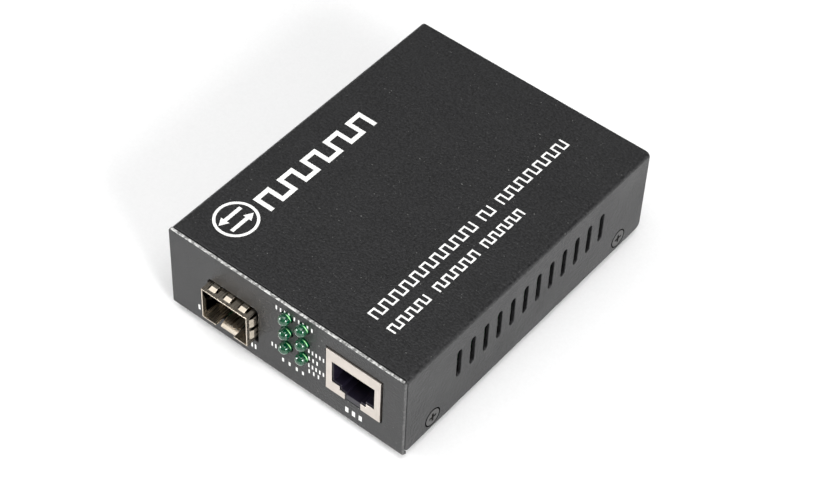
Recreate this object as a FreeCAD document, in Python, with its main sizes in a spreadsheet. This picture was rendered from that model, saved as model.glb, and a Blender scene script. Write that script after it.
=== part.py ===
import FreeCAD, Part
import os
import re
import Sketcher

# A fibre media converter in a folded steel case: a base with its front and rear panels,
# a cover with vent slots, and a circuit board that carries the two ports, the lamps and
# the power inlet. Millimetres. The origin is the middle of the base's underside, +Z is
# up, the ports look along -Y and +X is on the right of someone who faces them.

NEAR = 1e-4
HALF_TURN = 180.0
FULL_TURN = 360.0

# ---------------------------------------------------------------------------- sizes

SIZES = [
    # the case
    ("case_width", 71.0),
    ("case_depth", 93.5),
    ("case_height", 26.85),
    ("sheet_gauge", 1.0),
    ("cover_bend_inside", 0.4),
    ("base_bend_inside", 0.5),
    ("panel_drop", 0.1),
    ("seam_gap", 0.1),
    ("cover_fit", 0.1),
    ("wall_lift", 0.8),
    ("wall_front_corner_radius", 1.4),
    ("wall_rear_corner_radius", 1.8),
    ("panel_corner_radius", 0.9),
    ("flange_height", 8.0),
    ("relief_gap", 0.1),
    ("relief_slot", 1.0),
    ("cut_margin", 1.0),
    # the vent slots
    ("vent_count", 12),
    ("vent_pitch", 5.0),
    ("vent_width", 1.7),
    ("vent_length", 9.2),
    ("vent_front_inset", 19.9),
    ("vent_bottom", 11.0),
    ("vent_end_facets", 6),
    # the cover's countersunk screws
    ("cover_screw_front_inset", 11.0),
    ("cover_screw_rear_inset", 9.7),
    ("cover_screw_height", 4.3),
    ("cover_screw_radius", 1.45),
    ("cover_screw_length", 4.0),
    ("cover_head_radius", 2.7),
    ("screw_fit", 0.05),
    # the circuit board and what holds it
    ("standoff_height", 4.8),
    ("standoff_flats", 5.0),
    ("board_thickness", 1.6),
    ("board_side_gap", 2.1),
    ("board_end_gap", 0.8),
    ("board_hole_inset", 2.6),
    ("board_hole_front_inset", 22.0),
    ("board_hole_rear_inset", 7.0),
    ("board_screw_radius", 1.45),
    ("board_screw_length", 5.0),
    ("board_head_radius", 2.75),
    ("board_head_height", 1.9),
    ("recess_width", 0.7),
    ("recess_span", 2.6),
    ("recess_depth", 0.9),
    # the fibre port
    ("cage_side_inset", 19.7),
    ("cage_width", 14.15),
    ("cage_height", 9.95),
    ("cage_wall", 0.3),
    ("cage_length", 48.8),
    ("cage_proud", 3.0),
    ("cage_cutout_gap", 0.7),
    ("cage_cutout_corner", 1.4),
    ("finger_count", 3),
    ("finger_width", 1.8),
    ("finger_pitch", 4.6),
    ("side_finger_count", 2),
    ("side_finger_width", 2.8),
    ("side_finger_pitch", 4.0),
    ("side_finger_level", 3.2),
    ("finger_slit", 0.55),
    ("finger_root", 0.9),
    ("finger_length", 5.5),
    ("finger_rise", 0.45),
    ("finger_ramp", 1.1),
    ("lip_length", 6.0),
    ("notch_width", 5.6),
    ("tongue_width", 4.8),
    ("tongue_setback", 1.2),
    ("tongue_length", 14.0),
    ("tongue_slit", 0.5),
    ("ramp_length", 1.9),
    ("ramp_drop", 1.15),
    ("cage_fit", 0.05),
    ("connector_rear_room", 3.0),
    ("connector_width", 11.6),
    ("connector_height", 6.2),
    ("connector_depth", 8.5),
    ("card_slot_width", 9.4),
    ("card_slot_height", 1.8),
    ("card_slot_depth", 6.0),
    ("card_slot_level", 3.4),
    ("card_contact_count", 10),
    ("card_contact_pitch", 0.8),
    ("card_contact_width", 0.35),
    ("card_contact_gauge", 0.2),
    # the copper port
    ("jack_side_inset", 14.5),
    ("jack_width", 16.0),
    ("jack_height", 14.0),
    ("jack_depth", 16.2),
    ("jack_lift", 0.5),
    ("jack_proud", 0.4),
    ("jack_wall", 0.3),
    ("jack_cutout_gap", 0.3),
    ("window_width", 12.5),
    ("window_bottom", 3.35),
    ("window_top", 10.45),
    ("key_width", 7.75),
    ("key_bottom", 2.1),
    ("latch_width", 4.6),
    ("window_margin", 0.3),
    ("latch_floor", 1.7),
    ("socket_depth", 12.2),
    ("jack_fit", 0.1),
    ("jack_rear_room", 1.3),
    ("jack_foot_width", 2.0),
    ("wire_count", 8),
    ("wire_pitch", 1.02),
    ("wire_width", 0.4),
    ("wire_gauge", 0.3),
    ("wire_front_inset", 4.0),
    ("wire_reach", 6.0),
    ("wire_drop", 2.6),
    # the lamps
    ("lamp_column", 1.0),
    ("lamp_column_pitch", 5.05),
    ("lamp_row", 12.7),
    ("lamp_row_pitch", 5.04),
    ("lamp_radius", 1.5),
    ("lamp_proud", 2.4),
    ("lamp_body_depth", 4.4),
    ("lamp_hole_gap", 0.2),
    ("nose_bands", 4),
    ("lamp_fit", 0.05),
    ("holder_width", 4.6),
    ("holder_setback", 0.3),
    ("holder_depth", 4.8),
    ("holder_crown", 2.3),
    ("lead_width", 0.45),
    ("lead_spread", 2.54),
    ("lead_step", 1.2),
    # the power inlet
    ("inlet_side_inset", 15.5),
    ("inlet_width", 9.0),
    ("inlet_height", 11.0),
    ("inlet_depth", 14.0),
    ("inlet_axis_height", 6.5),
    ("inlet_bore_radius", 3.15),
    ("inlet_bore_depth", 10.0),
    ("inlet_setback", 0.2),
    ("inlet_panel_radius", 3.9),
    ("inlet_pin_radius", 1.0),
    ("inlet_pin_length", 9.0),
    ("inlet_pin_tail_radius", 0.6),
    ("inlet_spring_width", 3.0),
    ("inlet_spring_gauge", 0.3),
    ("inlet_spring_length", 9.0),
    ("inlet_slot_gap", 0.2),
    # the circuit's standing parts
    ("chip_width", 14.0),
    ("chip_height", 1.2),
    ("chip_bevel", 0.4),
    ("chip_x", 10.0),
    ("chip_y", 6.0),
    ("memory_width", 5.0),
    ("memory_depth", 4.0),
    ("memory_height", 1.5),
    ("memory_x", 2.0),
    ("memory_y", -8.0),
    ("transformer_width", 15.1),
    ("transformer_depth", 9.6),
    ("transformer_height", 5.5),
    ("transformer_gap", 17.0),
    ("transformer_lead_count", 12),
    ("transformer_lead_pitch", 1.27),
    ("transformer_lead_width", 0.5),
    ("transformer_lead_gauge", 0.3),
    ("transformer_lead_reach", 1.2),
    ("crystal_width", 11.0),
    ("crystal_depth", 4.6),
    ("crystal_height", 3.5),
    ("crystal_x", 8.0),
    ("crystal_y", 22.0),
    ("regulator_width", 6.5),
    ("regulator_depth", 3.5),
    ("regulator_height", 1.7),
    ("regulator_x", -20.0),
    ("regulator_y", 12.0),
    ("inductor_width", 6.6),
    ("inductor_height", 3.0),
    ("inductor_bevel", 0.6),
    ("inductor_x", -20.0),
    ("inductor_y", 24.0),
    ("capacitor_radius", 3.15),
    ("capacitor_height", 8.0),
    ("capacitor_row_x", -3.0),
    ("capacitor_spread", 9.0),
    ("capacitor_rear_inset", 10.75),
    # the feet
    ("foot_radius", 4.0),
    ("foot_height", 1.5),
    ("foot_inset", 9.0),
]
SIZE_NAMES = {name for name, number in SIZES}

document = FreeCAD.newDocument("fibre_media_converter")
sheet = document.addObject("Spreadsheet::Sheet", "sizes")
for row, (name, number) in enumerate(SIZES, start=1):
    sheet.set(f"A{row}", name)
    sheet.set(f"B{row}", str(number))
    sheet.setAlias(f"B{row}", name)
document.recompute()

# Places that several pieces share, as expressions over the sheet's cells.
SIDE = "(case_width / 2)"
FRONT = "(-case_depth / 2)"
REAR = "(case_depth / 2)"
PANEL_TOP = "(case_height - panel_drop)"
PANEL_BACK = f"({FRONT} + sheet_gauge)"
REAR_PANEL_FACE = f"({REAR} - sheet_gauge)"
REAR_PANEL_TOP = "(case_height - sheet_gauge - cover_fit)"
FLANGE_FACE = f"({SIDE} - sheet_gauge - cover_fit)"
FLANGE_BACK = f"({FLANGE_FACE} - sheet_gauge)"
TRIM_END = "(case_depth / 2 - sheet_gauge - base_bend_inside - relief_gap)"
FLANGE_END = f"({TRIM_END} - relief_slot)"
COVER_START = f"({PANEL_BACK} + seam_gap)"
COVER_LENGTH = "(case_depth - sheet_gauge - seam_gap)"
COVER_SCREW_ROWS = [f"({FRONT} + cover_screw_front_inset)", f"({REAR} - cover_screw_rear_inset)"]
BOARD_UNDERSIDE = "(sheet_gauge + standoff_height)"
BOARD_TOP = "(sheet_gauge + standoff_height + board_thickness)"
BOARD_SIDE = f"({FLANGE_BACK} - board_side_gap - board_end_gap / 2)"
BOARD_FRONT = f"({PANEL_BACK} + board_end_gap)"
BOARD_LENGTH = "(case_depth - 2 * (sheet_gauge + board_end_gap))"
BOARD_HOLE_X = f"({BOARD_SIDE} - board_hole_inset)"
BOARD_HOLE_FRONT = f"({FRONT} + board_hole_front_inset)"
BOARD_HOLE_REAR = f"({REAR} - board_hole_rear_inset)"
CAGE_RIM = f"({FRONT} - cage_proud)"
CAGE_TOP = f"({BOARD_TOP} + cage_height)"
FINGER_START = f"({CAGE_RIM} + finger_root)"
CAGE_SIDE = "(cage_width / 2)"
CAGE_X = f"(cage_side_inset - {SIDE})"
CONNECTOR_FACE = f"({CAGE_RIM} + cage_length - cage_wall - connector_rear_room - connector_depth)"
JACK_X = f"({SIDE} - jack_side_inset)"
JACK_FACE = f"({FRONT} - jack_proud)"
JACK_BOTTOM = f"({BOARD_TOP} + jack_lift)"
JACK_INSIDE = "(jack_depth - 2 * jack_wall)"
INLET_X = f"({SIDE} - inlet_side_inset)"
INLET_FACE = f"({REAR_PANEL_FACE} - inlet_setback)"
INLET_FRONT = f"({INLET_FACE} - inlet_depth)"
INLET_AXIS = f"({BOARD_TOP} + inlet_axis_height)"
LAMP_BACK = f"({PANEL_BACK} + lamp_body_depth)"

# -------------------------------------------------------------------------- helpers


def bound(expression):
    """The expression with each cell's alias written as objects outside the sheet refer to it."""
    def refer(word):
        return f"sizes.{word.group()}" if word.group() in SIZE_NAMES else word.group()
    return re.sub(r"[a-z_]+", refer, expression)


def number(expression):
    """What an expression over the sheet's cells comes to."""
    return float(sheet.evalExpression(bound(expression)))


def new_body(label, across="0"):
    """An empty body that carries the piece's name, placed across the case."""
    body = document.addObject("PartDesign::Body", label)
    body.Label = label
    body.AllowCompound = True
    body.setExpression(".Placement.Base.x", bound(across))
    return body


def new_sketch(body, plane, name, level="0", right="0", up="0"):
    """A sketch on one of the body's own planes, moved along the plane's axis to level."""
    planes = {feature.Role: feature for feature in body.Origin.OriginFeatures}
    sketch = body.newObject("Sketcher::SketchObject", name)
    sketch.AttachmentSupport = (planes[plane], [""])
    sketch.MapMode = "FlatFace"
    towards_normal = "-1" if plane == "XZ_Plane" else "1"
    sketch.setExpression(".AttachmentOffset.Base.x", bound(right))
    sketch.setExpression(".AttachmentOffset.Base.y", bound(up))
    sketch.setExpression(".AttachmentOffset.Base.z", bound(f"{towards_normal} * ({level})"))
    return sketch


def hold_level(sketch, kind, curve, point, expression):
    """Fix how far one point of a sketch's curve lies from the origin, across or up."""
    index = sketch.addConstraint(
        Sketcher.Constraint(kind, -1, 1, curve, point, number(expression))
    )
    sketch.setExpression(f"Constraints[{index}]", bound(expression))


def hold(sketch, curve, point, across, up):
    """Fix one point of a sketch's curve both across and up."""
    hold_level(sketch, "DistanceX", curve, point, across)
    hold_level(sketch, "DistanceY", curve, point, up)


def hold_radius(sketch, curve, expression):
    """Fix the radius of a sketch's circle or arc."""
    index = sketch.addConstraint(Sketcher.Constraint("Radius", curve, number(expression)))
    sketch.setExpression(f"Constraints[{index}]", bound(expression))


def draw_outline(sketch, corners):
    """A closed outline of straight lines through corners, each given as two expressions."""
    spots = [FreeCAD.Vector(number(across), number(up), 0) for across, up in corners]
    lines = []
    for start, end in zip(spots, spots[1:] + spots[:1]):
        lines.append(sketch.addGeometry(Part.LineSegment(start, end)))
    for line, following in zip(lines, lines[1:] + lines[:1]):
        sketch.addConstraint(Sketcher.Constraint("Coincident", line, 2, following, 1))
    for line, (across, up) in zip(lines, corners):
        hold(sketch, line, 1, across, up)


def draw_box(sketch, left, bottom, width, height):
    """A rectangle from its lower left corner."""
    right = f"({left}) + ({width})"
    top = f"({bottom}) + ({height})"
    draw_outline(sketch, [(left, bottom), (right, bottom), (right, top), (left, top)])


def draw_circle(sketch, across, up, radius):
    """A circle about one point."""
    centre = FreeCAD.Vector(number(across), number(up), 0)
    circle = sketch.addGeometry(Part.Circle(centre, FreeCAD.Vector(0, 0, 1), number(radius)))
    hold(sketch, circle, 3, across, up)
    hold_radius(sketch, circle, radius)


def draw_slot(sketch, across, bottom, width, length):
    """An upright slot whose ends are half rounds of a few equal facets."""
    facets = round(number("vent_end_facets"))
    top_centre = f"({bottom}) + ({length}) - ({width}) / 2"
    bottom_centre = f"({bottom}) + ({width}) / 2"
    corners = []
    for centre, start in ((top_centre, 0.0), (bottom_centre, HALF_TURN)):
        for step in range(facets + 1):
            turn = start + HALF_TURN * step / facets
            corners.append((f"({across}) + ({width}) / 2 * cos({turn})",
                            f"{centre} + ({width}) / 2 * sin({turn})"))
    draw_outline(sketch, corners)


def sprung_profile(level, sideways=False):
    """The side view of a spring finger: it ramps out of a wall, runs level and dips back."""
    rise = f"({level} + finger_rise)"
    end = f"({FINGER_START} + finger_length)"
    profile = [
        (FINGER_START, f"{level} - cage_wall"),
        (FINGER_START, level),
        (f"{FINGER_START} + finger_ramp", rise),
        (f"{end} - finger_ramp", rise),
        (end, level),
        (end, f"{level} - cage_wall"),
        (f"{end} - finger_ramp", f"{rise} - cage_wall"),
        (f"{FINGER_START} + finger_ramp", f"{rise} - cage_wall"),
    ]
    return [(up, along) for along, up in profile] if sideways else profile


def plane_of(sketch):
    """The role of the origin plane that a sketch lies on."""
    return sketch.AttachmentSupport[0][0].Role


def add_feature(body, kind, name):
    """A solid feature at the end of the body's history, and the body's volume before it."""
    document.recompute()
    before = 0.0 if body.Shape.isNull() else body.Shape.Volume
    feature = body.newObject(kind, name)
    return feature, before


def settle(body, feature, before, grows):
    """Recompute the body with its new feature, and stop where that did not do its work."""
    body.Tip = feature
    document.recompute()
    change = body.Shape.Volume - before
    if (change if grows else -change) <= NEAR:
        raise RuntimeError(f"{body.Label}: {feature.Name} changed nothing")
    return feature


def pad(body, sketch, length, name):
    """Raise a sketch along its plane's axis, the positive way."""
    feature, before = add_feature(body, "PartDesign::Pad", name)
    feature.Profile = sketch
    feature.setExpression("Length", bound(length))
    feature.Reversed = plane_of(sketch) == "XZ_Plane"
    return settle(body, feature, before, grows=True)


def pocket(body, sketch, length, name):
    """Cut a sketch out along its plane's axis, the positive way."""
    feature, before = add_feature(body, "PartDesign::Pocket", name)
    feature.Profile = sketch
    feature.setExpression("Length", bound(length))
    feature.Reversed = plane_of(sketch) != "XZ_Plane"
    return settle(body, feature, before, grows=False)


def revolve(body, sketch, name, axis="H_Axis", cuts=False):
    """Turn a sketch once round one of its own axes, to add or to cut."""
    kind = "PartDesign::Groove" if cuts else "PartDesign::Revolution"
    feature, before = add_feature(body, kind, name)
    feature.Profile = sketch
    feature.ReferenceAxis = (sketch, [axis])
    feature.Angle = FULL_TURN
    return settle(body, feature, before, grows=not cuts)


def mirror(body, features, plane, name, grows):
    """Repeat features on the other side of one of the body's planes."""
    planes = {feature.Role: feature for feature in body.Origin.OriginFeatures}
    feature, before = add_feature(body, "PartDesign::Mirrored", name)
    feature.Originals = features
    feature.MirrorPlane = (planes[plane], [""])
    return settle(body, feature, before, grows)


def pattern(body, features, axis, pitch, count, name, grows):
    """Repeat features count times along one of the body's axes."""
    axes = {feature.Role: feature for feature in body.Origin.OriginFeatures}
    feature, before = add_feature(body, "PartDesign::LinearPattern", name)
    feature.Originals = features
    feature.Direction = (axes[axis], [""])
    feature.setExpression("Occurrences", bound(count))
    feature.setExpression("Length", bound(f"({pitch}) * (({count}) - 1)"))
    return settle(body, feature, before, grows)


def edges_at(body, places):
    """The names of the tip's edges whose ends all lie at the coordinates a place gives."""
    names = []
    for index, edge in enumerate(body.Tip.Shape.Edges, start=1):
        ends = [vertex.Point for vertex in edge.Vertexes]
        for place in places:
            wanted = {axis: number(expression) for axis, expression in place.items()}
            if all(abs(getattr(end, axis) - w) < NEAR for end in ends for axis, w in wanted.items()):
                names.append(f"Edge{index}")
                break
    return names


def soften(body, kind, size, places, name, grows):
    """Round or bevel the edges that lie at the given places."""
    tip = body.Tip
    names = edges_at(body, places)
    feature, before = add_feature(body, kind, name)
    feature.Base = (tip, names)
    feature.setExpression("Radius" if kind == "PartDesign::Fillet" else "Size", bound(size))
    return settle(body, feature, before, grows)


def block(label, left, front, bottom, width, depth, height, across="0"):
    """A body that starts as one rectangular pad."""
    body = new_body(label, across)
    plan = new_sketch(body, "XY_Plane", f"{label}_plan", level=bottom)
    draw_box(plan, left, front, width, depth)
    pad(body, plan, height, f"{label}_block")
    return body


def countersunk_profile(thread, head, tip, rise="0"):
    """Half the outline of a countersunk screw or its hole, with the axis along X."""
    return [
        (tip, "0"),
        (tip, thread),
        (f"{SIDE} - (({head}) - ({thread}))", thread),
        (f"{SIDE} + {rise}", f"({head}) + {rise}"),
        (f"{SIDE} + {rise}", "0"),
    ]


def cut_screw_holes(body, name, thread, tip):
    """Countersunk holes for the cover's screws, two a side."""
    grooves = []
    for index, screw_row in enumerate(COVER_SCREW_ROWS):
        hole = new_sketch(
            body, "XY_Plane", f"{name}_{index}_profile", level="cover_screw_height", up=screw_row
        )
        draw_outline(hole, countersunk_profile(thread, "cover_head_radius + screw_fit", tip, "cut_margin"))
        grooves.append(revolve(body, hole, f"{name}_{index}", cuts=True))
    mirror(body, grooves, "YZ_Plane", f"{name}_other_side", grows=False)


# --------------------------------------------------------------- the base, one folded sheet

base = new_body("base_chassis")
base_profile = new_sketch(base, "YZ_Plane", "base_profile", level=f"-{SIDE}")
draw_outline(base_profile, [
    (FRONT, "0"),
    (REAR, "0"),
    (REAR, PANEL_TOP),
    (REAR_PANEL_FACE, PANEL_TOP),
    (REAR_PANEL_FACE, "sheet_gauge"),
    (PANEL_BACK, "sheet_gauge"),
    (PANEL_BACK, PANEL_TOP),
    (FRONT, PANEL_TOP),
])
pad(base, base_profile, "case_width", "base_fold")
soften(base, "PartDesign::Fillet", "base_bend_inside + sheet_gauge",
       [{"y": FRONT, "z": "0"}, {"y": REAR, "z": "0"}], "panel_bend_outside", grows=False)
soften(base, "PartDesign::Fillet", "base_bend_inside",
       [{"y": PANEL_BACK, "z": "sheet_gauge"}, {"y": REAR_PANEL_FACE, "z": "sheet_gauge"}],
       "panel_bend_inside", grows=True)

# The plate is cut back at both sides and slit at the corners, so that the flanges fold up
# inside the cover.
SLIT_END = f"({FLANGE_BACK} - base_bend_inside)"
side_trim = new_sketch(base, "XY_Plane", "side_trim_plan", level="-cut_margin")
draw_outline(side_trim, [
    (SLIT_END, f"-{TRIM_END}"),
    (f"{SIDE} + cut_margin", f"-{TRIM_END}"),
    (f"{SIDE} + cut_margin", TRIM_END),
    (SLIT_END, TRIM_END),
    (SLIT_END, FLANGE_END),
    (FLANGE_FACE, FLANGE_END),
    (FLANGE_FACE, f"-{FLANGE_END}"),
    (SLIT_END, f"-{FLANGE_END}"),
])
right_trim = pocket(base, side_trim, "sheet_gauge + 2 * cut_margin", "side_trim")
mirror(base, [right_trim], "YZ_Plane", "side_trims", grows=False)

flange_profile = new_sketch(base, "XZ_Plane", "flange_profile", level=f"-{FLANGE_END}")
draw_box(flange_profile, FLANGE_BACK, "0", "sheet_gauge", "flange_height")
right_flange = pad(base, flange_profile, f"2 * {FLANGE_END}", "side_flange")
mirror(base, [right_flange], "YZ_Plane", "side_flanges", grows=True)
soften(base, "PartDesign::Fillet", "base_bend_inside + sheet_gauge",
       [{"x": FLANGE_FACE, "z": "0"}, {"x": f"-{FLANGE_FACE}", "z": "0"}],
       "flange_bend_outside", grows=False)
soften(base, "PartDesign::Fillet", "base_bend_inside",
       [{"x": FLANGE_BACK, "z": "sheet_gauge"}, {"x": f"-{FLANGE_BACK}", "z": "sheet_gauge"}],
       "flange_bend_inside", grows=True)
# The front panel closes the cover's end from outside, the rear panel stands inside the cover.
rear_trim = new_sketch(base, "XZ_Plane", "rear_panel_trim_outline", level=TRIM_END)
draw_outline(rear_trim, [
    (FLANGE_FACE, "-cut_margin"),
    (f"{SIDE} + cut_margin", "-cut_margin"),
    (f"{SIDE} + cut_margin", "case_height + cut_margin"),
    ("0", "case_height + cut_margin"),
    ("0", REAR_PANEL_TOP),
    (FLANGE_FACE, REAR_PANEL_TOP),
])
right_rear_trim = pocket(base, rear_trim, f"{REAR} - {TRIM_END} + cut_margin", "rear_panel_trim")
mirror(base, [right_rear_trim], "YZ_Plane", "rear_panel_trims", grows=False)
soften(base, "PartDesign::Fillet", "panel_corner_radius",
       [{"x": SIDE, "z": PANEL_TOP}, {"x": f"-{SIDE}", "z": PANEL_TOP}],
       "front_panel_corners", grows=False)
soften(base, "PartDesign::Fillet", "panel_corner_radius",
       [{"x": FLANGE_FACE, "z": REAR_PANEL_TOP}, {"x": f"-{FLANGE_FACE}", "z": REAR_PANEL_TOP}],
       "rear_panel_corners", grows=False)
cut_screw_holes(base, "flange_hole", "cover_screw_radius + screw_fit",
                f"{FLANGE_BACK} - cut_margin")

# The front panel's openings: the cage, the copper port and the six lamps.
openings = new_sketch(base, "XZ_Plane", "front_openings_outline", level=f"{FRONT} - cut_margin")
draw_box(openings, f"{CAGE_X} - {CAGE_SIDE} - cage_cutout_gap", f"{BOARD_TOP} - cage_cutout_gap",
         "cage_width + 2 * cage_cutout_gap", "cage_height + 2 * cage_cutout_gap")
draw_box(openings, f"{JACK_X} - jack_width / 2 - jack_cutout_gap", f"{JACK_BOTTOM} - jack_cutout_gap",
         "jack_width + 2 * jack_cutout_gap", "jack_height + 2 * jack_cutout_gap")
pocket(base, openings, "sheet_gauge + 2 * cut_margin", "front_openings")
soften(base, "PartDesign::Fillet", "cage_cutout_corner",
       [{"x": f"{CAGE_X} {across} ({CAGE_SIDE} + cage_cutout_gap)", "z": f"{CAGE_TOP} + cage_cutout_gap"}
        for across in "-+"],
       "cage_cutout_corners", grows=True)
lamp_hole = new_sketch(base, "XZ_Plane", "lamp_hole_outline", level=f"{FRONT} - cut_margin")
for column in range(2):
    for row in range(3):
        draw_circle(lamp_hole, f"lamp_column + {column} * lamp_column_pitch",
                    f"lamp_row + {row} * lamp_row_pitch", "lamp_radius + lamp_hole_gap")
pocket(base, lamp_hole, "sheet_gauge + 2 * cut_margin", "lamp_holes")

# The rear panel's round hole for the power plug.
plug_hole = new_sketch(base, "XZ_Plane", "plug_hole_outline", level=f"{REAR_PANEL_FACE} - cut_margin")
draw_circle(plug_hole, INLET_X, INLET_AXIS, "inlet_panel_radius")
pocket(base, plug_hole, "sheet_gauge + 2 * cut_margin", "plug_hole")
# -------------------------------------------------------------- the cover, one folded sheet

cover = new_body("top_cover")
cover_profile = new_sketch(cover, "XZ_Plane", "cover_profile", level=COVER_START)
INNER_SIDE = f"({SIDE} - sheet_gauge)"
draw_outline(cover_profile, [
    (f"-{SIDE}", "wall_lift"),
    (f"-{INNER_SIDE}", "wall_lift"),
    (f"-{INNER_SIDE}", "case_height - sheet_gauge"),
    (INNER_SIDE, "case_height - sheet_gauge"),
    (INNER_SIDE, "wall_lift"),
    (SIDE, "wall_lift"),
    (SIDE, "case_height"),
    (f"-{SIDE}", "case_height"),
])
pad(cover, cover_profile, COVER_LENGTH, "cover_fold")
soften(cover, "PartDesign::Fillet", "cover_bend_inside + sheet_gauge",
       [{"x": SIDE, "z": "case_height"}, {"x": f"-{SIDE}", "z": "case_height"}],
       "cover_bend_outside", grows=False)
soften(cover, "PartDesign::Fillet", "cover_bend_inside",
       [{"x": INNER_SIDE, "z": "case_height - sheet_gauge"},
        {"x": f"-{INNER_SIDE}", "z": "case_height - sheet_gauge"}],
       "cover_bend_inside", grows=True)
soften(cover, "PartDesign::Fillet", "wall_front_corner_radius",
       [{"y": COVER_START, "z": "wall_lift"}], "wall_front_corners", grows=False)
soften(cover, "PartDesign::Fillet", "wall_rear_corner_radius",
       [{"y": REAR, "z": "wall_lift"}], "wall_rear_corners", grows=False)

vent = new_sketch(cover, "YZ_Plane", "vent_outline", level=f"-{SIDE} - cut_margin")
draw_slot(vent, f"{FRONT} + vent_front_inset", "vent_bottom", "vent_width", "vent_length")
first_vent = pocket(cover, vent, "case_width + 2 * cut_margin", "first_vent")
pattern(cover, [first_vent], "Y_Axis", "vent_pitch", "vent_count", "vent_row", grows=False)
cut_screw_holes(cover, "cover_hole", "cover_screw_radius + screw_fit", f"{INNER_SIDE} - cut_margin")

# ------------------------------------------------------- the cover's four countersunk screws

cover_screws = new_body("cover_screws")
turned = []
for index, screw_row in enumerate(COVER_SCREW_ROWS):
    screw = new_sketch(cover_screws, "XY_Plane", f"cover_screw_{index}_profile",
                       level="cover_screw_height", up=screw_row)
    draw_outline(screw, countersunk_profile("cover_screw_radius", "cover_head_radius",
                                            f"{SIDE} - cover_screw_length"))
    turned.append(revolve(cover_screws, screw, f"cover_screw_{index}"))
    recess = new_sketch(cover_screws, "YZ_Plane", f"cover_recess_{index}_outline",
                        level=f"{SIDE} - recess_depth")
    wide = "recess_span / 2"
    thin = "recess_width / 2"
    cross = [(thin, wide), (thin, thin), (wide, thin)]
    corners = []
    for flip_across, flip_up, path in (("", "", cross), ("", "-", cross[::-1]),
                                       ("-", "-", cross), ("-", "", cross[::-1])):
        for across, up in path:
            corners.append((f"{screw_row} + {flip_across}({across})",
                            f"cover_screw_height + {flip_up}({up})"))
    draw_outline(recess, corners)
    turned.append(pocket(cover_screws, recess, "recess_depth + cut_margin", f"cover_recess_{index}"))
mirror(cover_screws, turned, "YZ_Plane", "other_side_screws", grows=True)

# ----------------------------------------------------------- the board, standoffs and screws

board = block("circuit_board", f"-{BOARD_SIDE}", BOARD_FRONT, BOARD_UNDERSIDE,
              f"2 * {BOARD_SIDE}", BOARD_LENGTH, "board_thickness")
board_holes = new_sketch(board, "XY_Plane", "board_holes_outline", level=BOARD_UNDERSIDE)
for across in (f"-{BOARD_HOLE_X}", BOARD_HOLE_X):
    for along in (BOARD_HOLE_FRONT, BOARD_HOLE_REAR):
        draw_circle(board_holes, across, along, "board_screw_radius + 2 * screw_fit")
pocket(board, board_holes, "board_thickness + cut_margin", "board_holes")

standoffs = new_body("board_standoffs")
hexagon = new_sketch(standoffs, "XY_Plane", "standoff_hexagon", level="sheet_gauge",
                     right=f"-{BOARD_HOLE_X}", up=BOARD_HOLE_FRONT)
HALF_FLATS = "standoff_flats / 2"
HALF_SIDE = "standoff_flats / (2 * sqrt(3))"
CORNER = "standoff_flats / sqrt(3)"
draw_outline(hexagon, [
    (CORNER, "0"),
    (HALF_SIDE, HALF_FLATS),
    (f"-({HALF_SIDE})", HALF_FLATS),
    (f"-({CORNER})", "0"),
    (f"-({HALF_SIDE})", f"-({HALF_FLATS})"),
    (HALF_SIDE, f"-({HALF_FLATS})"),
])
standoff_body = pad(standoffs, hexagon, "standoff_height", "standoff_body")
thread = new_sketch(standoffs, "XY_Plane", "standoff_thread_outline", level="sheet_gauge",
                    right=f"-{BOARD_HOLE_X}", up=BOARD_HOLE_FRONT)
draw_circle(thread, "0", "0", "board_screw_radius + screw_fit")
threaded = pocket(standoffs, thread, "standoff_height + cut_margin", "standoff_thread")
one_standoff = [standoff_body, threaded]

screws = new_body("board_screws")
board_screw = new_sketch(screws, "XZ_Plane", "board_screw_profile", level=BOARD_HOLE_FRONT,
                         right=f"-{BOARD_HOLE_X}", up=BOARD_TOP)
draw_outline(board_screw, [
    ("0", "-board_screw_length"),
    ("board_screw_radius", "-board_screw_length"),
    ("board_screw_radius", "0"),
    ("board_head_radius", "0"),
    ("board_head_radius", "board_head_height"),
    ("0", "board_head_height"),
])
one_screw = [revolve(screws, board_screw, "board_screw", axis="V_Axis")]
for body, features in ((standoffs, one_standoff), (screws, one_screw)):
    label = body.Label
    axes = {feature.Role: feature for feature in body.Origin.OriginFeatures}
    grid, before = add_feature(body, "PartDesign::LinearPattern", f"{label}_grid")
    grid.Originals = features
    grid.Direction = (axes["X_Axis"], [""])
    grid.Direction2 = (axes["Y_Axis"], [""])
    grid.Occurrences = 2
    grid.Occurrences2 = 2
    grid.setExpression("Length", bound(f"2 * {BOARD_HOLE_X}"))
    grid.setExpression("Length2", bound(f"{BOARD_HOLE_REAR} - {BOARD_HOLE_FRONT}"))
    settle(body, grid, before, grows=True)

# -------------------------------------------------- the fibre port's cage, a sprung thin sheet

cage = block("sfp_cage", f"-{CAGE_SIDE}", CAGE_RIM, BOARD_TOP,
             "cage_width", "cage_length", "cage_height", across=CAGE_X)
hollow = new_sketch(cage, "XZ_Plane", "cage_hollow_outline", level=f"{CAGE_RIM} - cut_margin")
draw_box(hollow, f"cage_wall - {CAGE_SIDE}", f"{BOARD_TOP} + cage_wall",
         "cage_width - 2 * cage_wall", "cage_height - 2 * cage_wall")
pocket(cage, hollow, "cage_length - cage_wall + cut_margin", "cage_hollow")

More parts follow.
